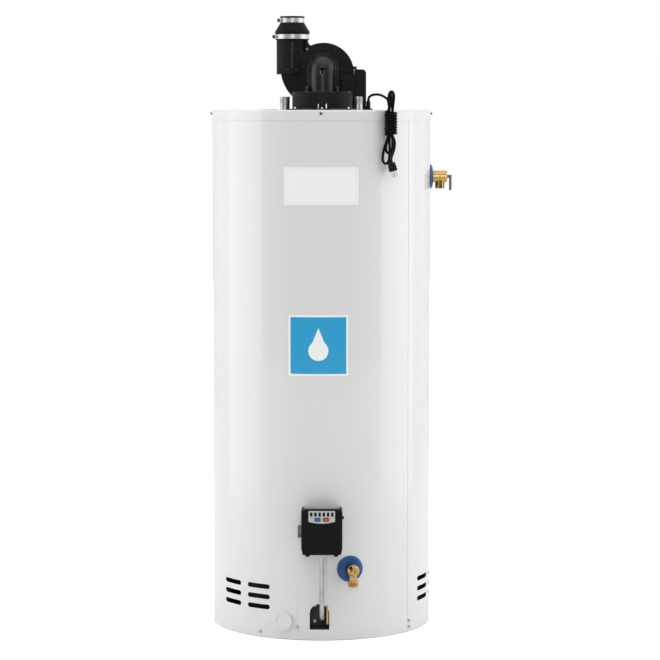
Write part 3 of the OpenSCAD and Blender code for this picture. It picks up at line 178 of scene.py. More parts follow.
def threadGrid(centre, axis, values):
    # A screw thread: radius = root + depth * ridge(height / pitch - turn) - taper * height. The ridge is a
    # saw from 0 to 1 with flat crests and roots; it fades out over a pitch at both ends, whose rims are sunk.
    rows = int(values["length"] / values["pitch"] * threadForm["stepsPerPitch"])
    height = np.linspace(0, values["length"], rows)[:, None]
    turn = np.linspace(0, 1, threadForm["sides"], endpoint=False)[None, :]
    saw = np.abs(((height / values["pitch"] - turn) % 1.0) * 2 - 1)
    ridge = np.clip(saw * threadForm["steep"] - threadForm["flat"], 0, 1)
    fade = np.clip(np.minimum(height, values["length"] - height) / values["pitch"], 0, 1)
    radius = values["root"] + values["depth"] * ridge * fade - values["sink"] * (fade <= 0)
    radius = radius - values["taper"] * height
    axis, first, second = acrossAxis(axis, (0.0, 1.0, 0.0))
    angle = 2 * math.pi * turn[..., None]
    return (np.asarray(centre, float) + height[..., None] * axis
            + radius[..., None] * (np.cos(angle) * first + np.sin(angle) * second))


# Power cord.
cord = {
    "diameter": 0.007, "length": 1.95, "sides": 14, "spacing": 0.0016,
    # route from the gland to the hank, as the part's own lead runs
    "lead": [(0.1314, 0.034, 1.449), (0.1314, 0.034, 1.457), (0.1314, 0.034, 1.463), (0.133, 0.028, 1.4715),
             (0.140, 0.004, 1.4775), (0.151, -0.055, 1.4795), (0.161, -0.120, 1.478), (0.168, -0.185, 1.4745),
             (0.1726, -0.237, 1.4705)],
    # the hank stands against the jacket at this angle; its points are in millimetres: sideways, outwards
    # from its inner face, and up from the cover's top
    "hankAngle": 35.5, "hankRadius": 0.3056, "coverTop": 1.437,
    # down and round the low left fold
    "runs": [(-3.2, 2.2, 31.6), (-4.6, 8, 28), (-5.6, 13.4, 21), (-6.1, 16.6, 10), (-6.1, 17.5, -4),
             (-6.1, 17.5, -24), (-6.1, 17.5, -46), (-6.7, 16.6, -64), (-9.6, 13, -81),
             (-13.4, 8.2, -99), (-16.4, 4.9, -116), (-17.5, 4.1, -130), (-17.7, 5.9, -136.9),
             (-17.6, 10.95, -141.9), (-17.4, 17.8, -143.7), (-17.1, 24.7, -141.9),
             (-16.7, 29.7, -136.9), (-16, 31.5, -130), (-14.2, 30.6, -116), (-10.4, 25.6, -98),
             (-5, 18, -81), (-1.2, 12.8, -67), (0, 11.4, -50), (0, 11.4, -30),
             # over the top fold
             (0.2, 11, -10), (1.2, 8.6, 6), (2.4, 5.4, 20), (3, 4.2, 35.5), (2.8, 6, 42.4),
             (2.2, 11.1, 47.5), (1.3, 18, 49.3), (0.3, 24.9, 47.5), (-0.4, 30, 42.4),
             (-0.8, 31.8, 35.5), (-0.9, 30.6, 22), (-0.6, 27.4, 8), (-0.1, 24.4, -6), (0, 23.6, -22),
             (0, 23.6, -44), (0, 23.9, -58),
             # round the short low fold and up again
             (-1.5, 26.2, -73), (-3.8, 29.6, -88), (-6, 31.5, -103), (-6.1, 29.7, -110),
             (-6.15, 24.7, -115), (-6.2, 17.8, -117), (-6.25, 10.9, -115), (-6.3, 5.9, -110),
             (-6.3, 4.1, -103), (-4.7, 5.1, -91), (-1.5, 7.6, -81), (2.8, 10.3, -73), (5.6, 13, -65),
             (6.1, 16.4, -56), (6.1, 17.5, -46), (6.1, 17.5, -30),
             # over the second top fold, inside the first, and down to the wraps
             (6.2, 16.8, -14), (6.9, 14.6, 0), (8, 11, 13), (8.6, 9.2, 25), (8.5, 9, 32),
             (6.4, 11.2, 39.3), (1.25, 16.5, 42.2), (-3.9, 21.8, 39.3), (-6, 24, 32), (-7, 24.6, 20),
             (-9.4, 24.6, 9), (-12.2, 23.4, 1)],
    "wraps": {"radius": 14.0, "depth": 17.5, "top": -4.4, "bottom": -66.4, "turns": 8.29, "start": 163.0,
              "stepsPerTurn": 16},
    "tail": [(6.2, 5, -67.2), (11, 8.6, -70.4), (13.6, 12.8, -77.4), (13.9, 15.8, -87), (12.9, 17, -95),
             (9.6, 17.8, -108), (4.4, 17.7, -119.5), (-0.4, 17.6, -128.5), (-2.2, 17.5, -132.6)],
}


def hankPoint(x, depth, z):
    # local place in the hank, in millimetres, to the frame
    turn = math.radians(cord["hankAngle"])
    out = np.array([math.sin(turn), -math.cos(turn), 0.0])
    side = np.array([math.cos(turn), math.sin(turn), 0.0])
    x, depth, z = (np.asarray(value, float)[..., None] / 1000 for value in (x, depth, z))
    return out * (cord["hankRadius"] + depth) + side * x + np.array([0, 0, 1.0]) * (cord["coverTop"] + z)


def cordRoute():
    # the lead, the hank's runs, the wraps round them as a helix that goes down, and the tail to the plug
    wraps = cord["wraps"]
    steps = int(wraps["turns"] * wraps["stepsPerTurn"])
    angle = np.radians(wraps["start"]) + np.linspace(0, 2 * math.pi * wraps["turns"], steps)
    spiral = hankPoint(wraps["radius"] * np.cos(angle), wraps["depth"] + wraps["radius"] * np.sin(angle),
                       np.linspace(wraps["top"], wraps["bottom"], steps))
    runs = hankPoint(*np.array(cord["runs"]).T)
    tail = hankPoint(*np.array(cord["tail"]).T)
    return np.vstack([cord["lead"], runs, spiral, tail])


plugSleeve = {"length": 0.022, "steps": 67, "wide": 0.0052, "taper": 0.0015, "ribs": 5, "ribHeight": 0.00035,
              "bore": 0.0031, "sunk": 0.002, "sides": 40, "aimSteps": 16}


def addCord():
    path, run = smoothPath(cordRoute(), cord["spacing"])
    print("cord length", round(run[-1], 3))
    grid = tubeGrid(path, cord["diameter"] / 2, cord["sides"])
    piece = gridPiece("powerCord", grid, "heater", capEnds=True)
    uvByLength(piece, cord["sides"], run)
    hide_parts("power_cord_lead", "power_cord_hank")
    # tapered boot where the cord goes into its plug, ribbed like a moulded strain relief: its radius is a
    # straight taper plus the upper halves of a sine
    v = plugSleeve
    end, before = path[-1], path[-v["aimSteps"]]
    axis = (before - end) / np.linalg.norm(before - end)
    along = np.linspace(0, v["length"], v["steps"])
    ribs = v["ribHeight"] * np.maximum(0, np.sin(along / v["length"] * 2 * math.pi * v["ribs"]))
    radius = v["wide"] - v["taper"] * along / v["length"] + ribs
    profile = np.stack([np.concatenate([[v["bore"]], radius, [v["bore"]]]),
                        np.concatenate([[0], along, [v["length"]]])], axis=-1)
    sleeve = turnedGrid(profile, end - axis * v["sunk"], axis, v["sides"])
    boot = gridPiece("plugBoot", sleeve[:, ::-1], "heater")
    return piece, boot


powerCord, plugBoot = addCord()
print("cord laid")


# Threads of the nipples and of the hose outlet.
nippleThread = {"root": 0.01338, "depth": 0.0007, "pitch": 0.0018, "length": 0.0185, "sink": 0.0012,
                "taper": 0.012, "belowTop": 0.0006}
hoseThread = {"root": 0.01322, "depth": 0.0011, "pitch": 0.0022, "length": 0.0125, "sink": 0.0012,
              "taper": 0.0, "aboveFoot": 0.0012}


def addThreads():
    # each nipple is threaded down from its top, the drain's spout up from its foot
    made = []
    for node, name in (("cold_nipple", "coldNippleThread"), ("hot_nipple", "hotNippleThread")):
        low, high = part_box(node)
        foot = high.z - nippleThread["length"] - nippleThread["belowTop"]
        centre = ((low.x + high.x) / 2, (low.y + high.y) / 2, foot)
        piece = gridPiece(name, threadGrid(centre, (0, 0, 1), nippleThread), "heater")
        made.append(piece)
    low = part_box("drain_valve_body")[0]
    outlet = next(mount for mount in frame["record"]["mounts"] if mount["name"] == "drain_outlet")["pos_m"]
    centre = (outlet[0], outlet[1], low.z + hoseThread["aboveFoot"])
    piece = gridPiece("hoseThread", threadGrid(centre, (0, 0, 1), hoseThread), "heater")
    made.append(piece)
    return made


threads = addThreads()
print("threads cut")


# Effects that several finishes share.

def makeGroup(name, inputs, outputs):
    group = bpy.data.node_groups.new(name, "ShaderNodeTree")
    for label, kind, value in inputs:
        socket = group.interface.new_socket(label, in_out="INPUT", socket_type=kind)
        if value is not None:
            socket.default_value = value
    for label, kind in outputs:
        group.interface.new_socket(label, in_out="OUTPUT", socket_type=kind)
    return group, group.nodes.new("NodeGroupInput"), group.nodes.new("NodeGroupOutput")


def feed(tree, socket, value):
    # (node, output) becomes a link, anything else the socket's own value
    if isinstance(value, tuple) and isinstance(value[0], bpy.types.Node):
        tree.links.new(value[0].outputs[value[1]], socket)
    else:
        socket.default_value = value


def addNode(tree, kind, settings=None, **sockets):
    # sockets by name, two underscores for a space, or by number as _0, _1
    node = tree.nodes.new(kind)
    for key, value in (settings or {}).items():
        setattr(node, key, value)
    for key, value in sockets.items():
        feed(tree, node.inputs[int(key[1:]) if key[0] == "_" else key.replace("__", " ")], value)
    return node


def mathNode(tree, operation, a, b=0.0, clamp=False):
    return addNode(tree, "ShaderNodeMath", {"operation": operation, "use_clamp": clamp}, _0=a, _1=b), "Value"


def stretched(tree, value, source, target):
    # what lies between the two source values, spread over the two target values
    return addNode(tree, "ShaderNodeMapRange", Value=value, From__Min=source[0], From__Max=source[1],
                   To__Min=target[0], To__Max=target[1]), "Result"


def mixNode(tree, share, first, second):
    # inputs 6 and 7 and output 2 are the node's colours
    return addNode(tree, "ShaderNodeMix", {"data_type": "RGBA"}, _0=share, _6=first, _7=second), 2


def grainEffect():
    # fine grain over broad, soft mottling; both from 0 to 1
    group, gin, gout = makeGroup(
        "grain", [("Vector", "NodeSocketVector", None), ("Scale", "NodeSocketFloat", 800.0),
                  ("Broad Scale", "NodeSocketFloat", 9.0)],
        [("Grain", "NodeSocketFloat"), ("Mottle", "NodeSocketFloat")])
    fine = addNode(group, "ShaderNodeTexNoise", Vector=(gin, "Vector"), Scale=(gin, "Scale"), Detail=3.0,
                   Roughness=0.6)
    broad = addNode(group, "ShaderNodeTexNoise", Vector=(gin, "Vector"), Scale=(gin, "Broad Scale"),
                    Detail=4.0, Roughness=0.55)
    feed(group, gout.inputs["Grain"], (fine, "Fac"))
    feed(group, gout.inputs["Mottle"], (broad, "Fac"))
    return group


def brushEffect():
    # hair-thin scratches drawn out along one axis of the vector that comes in
    group, gin, gout = makeGroup(
        "brush", [("Vector", "NodeSocketVector", None), ("Stretch", "NodeSocketVector", (1.0, 1.0, 1.0)),
                  ("Scale", "NodeSocketFloat", 600.0)],
        [("Lines", "NodeSocketFloat")])
    drawn = addNode(group, "ShaderNodeVectorMath", {"operation": "MULTIPLY"}, _0=(gin, "Vector"),
                    _1=(gin, "Stretch"))
    noise = addNode(group, "ShaderNodeTexNoise", Vector=(drawn, "Vector"), Scale=(gin, "Scale"), Detail=2.0,
                    Roughness=0.7)
    feed(group, gout.inputs["Lines"], (noise, "Fac"))
    return group


edgeForm = {"samples": 4, "contrast": 5.0, "patches": (0.4, 0.62)}


def edgeEffect():
    # rounds sharp edges for the light, and marks them: how far the rounded normal leans from the flat one
    group, gin, gout = makeGroup(
        "softEdge", [("Vector", "NodeSocketVector", None), ("Width", "NodeSocketFloat", 0.0006),
                     ("Breakup", "NodeSocketFloat", 60.0)],
        [("Edge", "NodeSocketFloat"), ("Normal", "NodeSocketVector")])
    bevel = addNode(group, "ShaderNodeBevel", {"samples": edgeForm["samples"]}, Radius=(gin, "Width"))
    flat = group.nodes.new("ShaderNodeNewGeometry")
    lean = addNode(group, "ShaderNodeVectorMath", {"operation": "DOT_PRODUCT"}, _0=(bevel, "Normal"),
                   _1=(flat, "Normal"))
    away = mathNode(group, "SUBTRACT", 1.0, (lean, "Value"))
    strong = mathNode(group, "MULTIPLY", away, edgeForm["contrast"], True)
    patchy = addNode(group, "ShaderNodeTexNoise", Vector=(gin, "Vector"), Scale=(gin, "Breakup"), Detail=4.0)
    cut = stretched(group, (patchy, "Fac"), edgeForm["patches"], (0.0, 1.0))
    wornAndLitEdge = mathNode(group, "MULTIPLY", strong, cut, True)
    feed(group, gout.inputs["Edge"], wornAndLitEdge)
    feed(group, gout.inputs["Normal"], (bevel, "Normal"))
    return group


dustForm = {"facing": (0.35, 1.0), "patchScale": 22.0}


def dustEffect():
    # a thin film that settles on faces that look up, in soft patches
    group, gin, gout = makeGroup(
        "dust", [("Vector", "NodeSocketVector", None), ("Amount", "NodeSocketFloat", 0.2)],
        [("Dust", "NodeSocketFloat")])
    flat = group.nodes.new("ShaderNodeNewGeometry")
    parts = addNode(group, "ShaderNodeSeparateXYZ", _0=(flat, "Normal"))
    up = stretched(group, (parts, "Z"), dustForm["facing"], (0.0, 1.0))
    patches = addNode(group, "ShaderNodeTexNoise", Vector=(gin, "Vector"), Scale=dustForm["patchScale"],
                      Detail=6.0, Roughness=0.65)
    film = mathNode(group, "MULTIPLY", up, (patches, "Fac"))
    total = mathNode(group, "MULTIPLY", film, (gin, "Amount"), True)
    feed(group, gout.inputs["Dust"], total)
    return group


effects = {"grain": grainEffect(), "brush": brushEffect(), "edge": edgeEffect(), "dust": dustEffect()}
print("shared effects built")


def placeEffect(tree, name, **sockets):
    return addNode(tree, "ShaderNodeGroup", {"node_tree": effects[name]}, **sockets)


# What a finish holds where it says nothing else; ranges are the stretch of the noise that is used.
plain = {
    "color": (0.5, 0.5, 0.5), "tint": None, "tintShade": 0.8, "mottle": 0.25, "metallic": 0.0,
    "roughness": 0.5, "roughVary": 0.08, "specular": 0.5, "coat": 0.0, "coatRoughness": 0.1,
    "mottleRange": (0.3, 0.75), "roughRange": (0.25, 0.75), "brushRange": (0.35, 0.65),
    "grainScale": 900.0, "broadScale": 8.0, "bump": 0.15, "bumpDepth": 0.00008,
    # brush scales the pattern on each axis: the smaller the number, the longer the scratches along it
    "brush": None, "brushScale": 700.0, "brushAmount": 0.0, "brushShade": 0.55, "brushRough": 0.25,
    "brushHeight": 1.5,
    "edgeWidth": 0.0006, "wearAndEdgeLight": 0.0, "wearAndEdgeLightColor": (0.6, 0.6, 0.6), "wearMetal": 0.0,
    "dust": 0.0, "dustColor": (0.45, 0.43, 0.4), "dustRough": 0.5,
    # polished is a mask of the smoother share, with that share's roughness and shine
    "polished": None,
}


def rgba(color):
    return (*color, 1.0)


def makeFinish(name, marks=None, **changes):
    # One Principled shader: colour = base and its tint mixed by mottling, then brushing, marks, worn edges
    # (on the blower, housing and control plastics a painted edge highlight) and dust; height = grain and
    # brushing over edges that the bevel softens.
    v = {**plain, **changes}
    material = bpy.data.materials.new(name)
    material.use_nodes = True
    tree = material.node_tree
    shader = tree.nodes["Principled BSDF"]
    where = tree.nodes.new("ShaderNodeTexCoord")
    place = (where, "Object")
    grain = placeEffect(tree, "grain", Vector=place, Scale=v["grainScale"], Broad__Scale=v["broadScale"])
    tint = v["tint"] or tuple(c * v["tintShade"] for c in v["color"])
    color = mixNode(tree, stretched(tree, (grain, "Mottle"), v["mottleRange"], (0.0, v["mottle"])),
                    rgba(v["color"]), rgba(tint))
    rough = stretched(tree, (grain, "Mottle"), v["roughRange"],
                      (v["roughness"] - v["roughVary"], v["roughness"] + v["roughVary"]))
    height = (grain, "Grain")
    if v["brush"]:
        lines = placeEffect(tree, "brush", Vector=place, Stretch=v["brush"], Scale=v["brushScale"])
        shade = stretched(tree, (lines, "Lines"), v["brushRange"], (0.0, v["brushAmount"]))
        color = mixNode(tree, shade, color, rgba(c * v["brushShade"] for c in v["color"]))
        rough = mathNode(tree, "ADD", rough, mathNode(tree, "MULTIPLY", shade, v["brushRough"]), True)
        ridges = mathNode(tree, "MULTIPLY", (lines, "Lines"), v["brushHeight"])
        height = mathNode(tree, "ADD", height, ridges)
    metal = None
    if marks:
        color, rough = marks(tree, place, color, rough)
    edge = placeEffect(tree, "edge", Vector=place, Width=v["edgeWidth"])
    # the pale edge line is wear on metals and paints, and on the blower, housing and control plastics a
    # painted edge highlight
    if v["wearAndEdgeLight"]:
        wornAndLitEdge = mathNode(tree, "MULTIPLY", (edge, "Edge"), v["wearAndEdgeLight"], True)
        color = mixNode(tree, wornAndLitEdge, color, rgba(v["wearAndEdgeLightColor"]))
        if v["wearMetal"]:
            metal = mathNode(tree, "MULTIPLY", wornAndLitEdge, v["wearMetal"], True)
    shader.inputs["Specular IOR Level"].default_value = v["specular"]
    if v["polished"]:
        shareOf, smooth, shine = v["polished"]
        share = shareOf(tree, place)
        smoother = mathNode(tree, "MULTIPLY", share, smooth - v["roughness"])
        rough = mathNode(tree, "ADD", rough, smoother, True)
        gloss = stretched(tree, share, (0.0, 1.0), (v["specular"], shine))
        feed(tree, shader.inputs["Specular IOR Level"], gloss)
    if v["dust"]:
        film = placeEffect(tree, "dust", Vector=place, Amount=v["dust"])
        color = mixNode(tree, (film, "Dust"), color, rgba(v["dustColor"]))
        duller = mathNode(tree, "MULTIPLY", (film, "Dust"), v["dustRough"])
        rough = mathNode(tree, "ADD", rough, duller, True)
    bump = addNode(tree, "ShaderNodeBump", Strength=v["bump"], Distance=v["bumpDepth"], Height=height,
                   Normal=(edge, "Normal"))
    for socket, value in (("Base Color", color), ("Roughness", rough), ("Normal", (bump, "Normal")),
                          ("Metallic", metal or v["metallic"]), ("Coat Weight", v["coat"]),
                          ("Coat Roughness", v["coatRoughness"])):
        feed(tree, shader.inputs[socket], value)
    return material


# Printed marks and parts of a piece in another finish.

def splitPlace(tree, place):
    # x, y and z of a place on the piece
    parts = addNode(tree, "ShaderNodeSeparateXYZ", _0=place)
    return (parts, "X"), (parts, "Y"), (parts, "Z")


def within(tree, value, centre, half, soft=0.00025):
    # 1 where |value - centre| < half, with a soft edge
    off = mathNode(tree, "ABSOLUTE", mathNode(tree, "SUBTRACT", value, centre))
    return stretched(tree, off, (half + soft, half - soft), (0.0, 1.0))


def both(tree, a, b):
    return mathNode(tree, "MULTIPLY", a, b, True)


def either(tree, a, b):
    return mathNode(tree, "MAXIMUM", a, b)


def above(tree, value, limit):
    return mathNode(tree, "GREATER_THAN", value, limit)


def under(tree, value, limit):
    return mathNode(tree, "LESS_THAN", value, limit)


# The drop: a disc of this radius, dropLow under the label's middle, under a wedge whose tip lies tip above
# the disc's middle. slim narrows the wedge, which starts at from, in radii above that middle.
lowerLabel = {"border": 0.0052, "drop": 0.027, "dropLow": 0.014, "tip": 0.062, "slim": 0.93, "from": 0.35,
              "white": (0.92, 0.93, 0.93)}


def lowerLabelMarks(tree, place, color, rough):
    # a white border and a plain water drop: a disc, and above its middle a wedge that narrows to the tip
    low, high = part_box("blue_label")
    v = lowerLabel
    centreX, centreZ = (low.x + high.x) / 2, (low.z + high.z) / 2
    x, _, z = splitPlace(tree, place)
    field = both(tree, within(tree, x, centreX, (high.x - low.x) / 2 - v["border"]),
                 within(tree, z, centreZ, (high.z - low.z) / 2 - v["border"]))
    offX = mathNode(tree, "SUBTRACT", x, centreX)
    offZ = mathNode(tree, "SUBTRACT", z, centreZ - v["dropLow"])
    square = mathNode(tree, "ADD", mathNode(tree, "MULTIPLY", offX, offX),
                      mathNode(tree, "MULTIPLY", offZ, offZ))
    disc = under(tree, square, v["drop"] ** 2)
    slope = mathNode(tree, "SUBTRACT", v["drop"], mathNode(tree, "MULTIPLY", offZ, v["drop"] / v["tip"]))
    wedge = under(tree, mathNode(tree, "ABSOLUTE", offX), mathNode(tree, "MULTIPLY", slope, v["slim"]))
    wedge = both(tree, wedge, above(tree, offZ, v["from"] * v["drop"]))
    drop = either(tree, disc, wedge)
    white = mathNode(tree, "SUBTRACT", 1.0, both(tree, field, mathNode(tree, "SUBTRACT", 1.0, drop)), True)
    return mixNode(tree, white, color, rgba(v["white"])), rough


upperLabel = {"inset": 0.0045, "line": 0.0005, "strength": 0.6, "ink": (0.62, 0.63, 0.65)}


def upperLabelMarks(tree, place, color, rough):
    # one thin ruled line round the blank sheet
    low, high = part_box("front_label")
    v = upperLabel
    x, _, z = splitPlace(tree, place)
    halfX, halfZ = (high.x - low.x) / 2 - v["inset"], (high.z - low.z) / 2 - v["inset"]
    centreX, centreZ = (low.x + high.x) / 2, (low.z + high.z) / 2
    outer = both(tree, within(tree, x, centreX, halfX), within(tree, z, centreZ, halfZ))
    inner = both(tree, within(tree, x, centreX, halfX - 2 * v["line"]),
                 within(tree, z, centreZ, halfZ - 2 * v["line"]))
    line = mathNode(tree, "SUBTRACT", outer, inner, True)
    return mixNode(tree, mathNode(tree, "MULTIPLY", line, v["strength"]), color, rgba(v["ink"])), rough


panelPrint = {"halfLength": 0.0285, "halfLine": 0.0004, "soft": 0.0001, "below": 0.0025, "strength": 0.7,
              "ink": (0.10, 0.12, 0.11)}


def panelMarks(tree, place, color, rough):
    # a fine rule under the row of windows
    low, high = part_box("status_windows")
    v = panelPrint
    x, _, z = splitPlace(tree, place)
    rule = both(tree, within(tree, x, (low.x + high.x) / 2, v["halfLength"]),
                within(tree, z, low.z - v["below"], v["halfLine"], v["soft"]))
    return mixNode(tree, mathNode(tree, "MULTIPLY", rule, v["strength"]), color, rgba(v["ink"])), rough


# where each band's worm screw begins, sideways
clampWorm = {"upperEdge": -0.1166, "lowerEdge": -0.1302, "color": (0.055, 0.055, 0.058)}


def clampMarks(tree, place, color, rough):
    # the worm screws, left of each band, are of dark steel
    v = clampWorm
    x, _, z = splitPlace(tree, place)
    upper = above(tree, z, middle("coupling_clamps").z)
    worm = under(tree, x, stretched(tree, upper, (0.0, 1.0), (v["lowerEdge"], v["upperEdge"])))
    return mixNode(tree, worm, color, rgba(v["color"])), rough


cableSleeve = {"foot": 0.104, "soft": 0.0006, "color": (0.66, 0.66, 0.65)}


def cableMarks(tree, place, color, rough):
    # above the arch the cable runs in a pale grey sleeve
    v = cableSleeve
    z = splitPlace(tree, place)[2]
    sleeve = stretched(tree, z, (v["foot"] - v["soft"], v["foot"] + v["soft"]), (0.0, 1.0))
    return mixNode(tree, sleeve, color, rgba(v["color"])), rough


# the hood's slot: an upright and a level oval, each a half width and the half length of its straight middle;
# its shallow floor gets painted shade
hood = {"foot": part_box("intake_hood")[0].z, "face": 0.039, "centre": (middle("intake_hood").x, 1.546),
        "upright": (0.0045, 0.007), "level": (0.0040, 0.0055), "levelUp": 0.004,
        "slotShadeColor": (0.002, 0.002, 0.002)}


def hoodSlot(tree, place):
    # 1 inside either oval: distance from its straight middle under its half width
    x, _, z = splitPlace(tree, place)

    def oval(along, across, halfWidth, halfLength):
        past = mathNode(tree, "SUBTRACT", mathNode(tree, "ABSOLUTE", along), halfLength)
        past = mathNode(tree, "MAXIMUM", past, 0.0)
        far = mathNode(tree, "ADD", mathNode(tree, "MULTIPLY", past, past),
                       mathNode(tree, "MULTIPLY", across, across))
        return under(tree, far, halfWidth ** 2)

    offX = mathNode(tree, "SUBTRACT", x, hood["centre"][0])
    offZ = mathNode(tree, "SUBTRACT", z, hood["centre"][1])
    upright = oval(offZ, offX, *hood["upright"])
    level = oval(offX, mathNode(tree, "SUBTRACT", offZ, hood["levelUp"]), *hood["level"])
    return either(tree, upright, level)


def hoodSlotShadeMarks(tree, place, color, rough):
    # painted shade: the slot's shallow floor is coloured near black, standing in for the shadow inside a deep
    # opening
    return mixNode(tree, hoodSlot(tree, place), color, rgba(hood["slotShadeColor"])), rough


def hoodShine(tree, place):
    # the bulge of the hood: above its foot, ahead of its flange and outside the slot
    _, y, z = splitPlace(tree, place)
    bulge = both(tree, above(tree, z, hood["foot"]), under(tree, y, hood["face"]))
    return mathNode(tree, "SUBTRACT", bulge, hoodSlot(tree, place), True)


# the outlet's rib: half its width, its ends, and the plane it stands ahead of; its colour is a painted
# highlight
outletRibHighlight = {"x": -0.082, "half": 0.0026, "ends": (1.553, 1.625), "ahead": 0.0348,
             "color": (0.032, 0.032, 0.033)}


def ribHighlightMarks(tree, place, color, rough):
    # painted highlight: the rib down the outlet is coloured paler than the wall round it, standing in for the
    # light its front catches
    v = outletRibHighlight
    x, y, z = splitPlace(tree, place)
    low, high = v["ends"]
    rib = both(tree, within(tree, x, v["x"], v["half"]), within(tree, z, (low + high) / 2, (high - low) / 2))
    return mixNode(tree, both(tree, rib, under(tree, y, v["ahead"])), color, rgba(v["color"])), rough


# the skirt's screws lie between two heights, the blower's above the seam, the black one right of a line
darkScrews = {"rim": (1.405, 1.4365), "seam": 1.50, "right": 0.05, "grey": (0.12, 0.12, 0.125),
              "black": (0.03, 0.03, 0.03)}


def screwMarks(tree, place, color, rough):
    # the screws of the lid's skirt and of the blower are of darker steel, the one beside the box is black
    v = darkScrews
    x, _, z = splitPlace(tree, place)
    low, high = v["rim"]
    rim = both(tree, above(tree, z, low), under(tree, z, high))
    seam = above(tree, z, v["seam"])
    color = mixNode(tree, either(tree, rim, seam), color, rgba(v["grey"]))
    return mixNode(tree, both(tree, seam, above(tree, x, v["right"])), color, rgba(v["black"])), rough


# the pale strip on the control's top is painted light
paintedTopLight = {"halfLength": 0.0485, "below": 0.0008, "behind": 0.022, "color": (0.27, 0.30, 0.29)}


def controlTopLightMarks(tree, place, color, rough):
    # painted light: a pale strip on the control's top face, some way behind its front, stands in for the
    # light falling on that upward face
    v = paintedTopLight
    low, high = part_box("gas_valve_cover")
    x, y, z = splitPlace(tree, place)
    strip = both(tree, within(tree, x, middle("display_panel").x, v["halfLength"]),
                 above(tree, z, high.z - v["below"]))
    strip = both(tree, strip, above(tree, y, low.y + v["behind"]))
    return mixNode(tree, strip, color, rgba(v["color"])), rough


buttonSign = {"halfLength": 0.0026, "halfLine": 0.00055, "soft": 0.0001, "strength": 0.6,
              "ink": (0.7, 0.72, 0.74)}


def signMarks(node, upright):
    # a minus on one button and a plus on the other
    v = buttonSign

    def draw(tree, place, color, rough):
        centre = middle(node)
        x, _, z = splitPlace(tree, place)

        def bar(halfX, halfZ):
            return both(tree, within(tree, x, centre.x, halfX, v["soft"]),
                        within(tree, z, centre.z, halfZ, v["soft"]))

        sign = bar(v["halfLength"], v["halfLine"])
        if upright:
            sign = either(tree, sign, bar(v["halfLine"], v["halfLength"]))
        return mixNode(tree, mathNode(tree, "MULTIPLY", sign, v["strength"]), color, rgba(v["ink"])), rough
    return draw


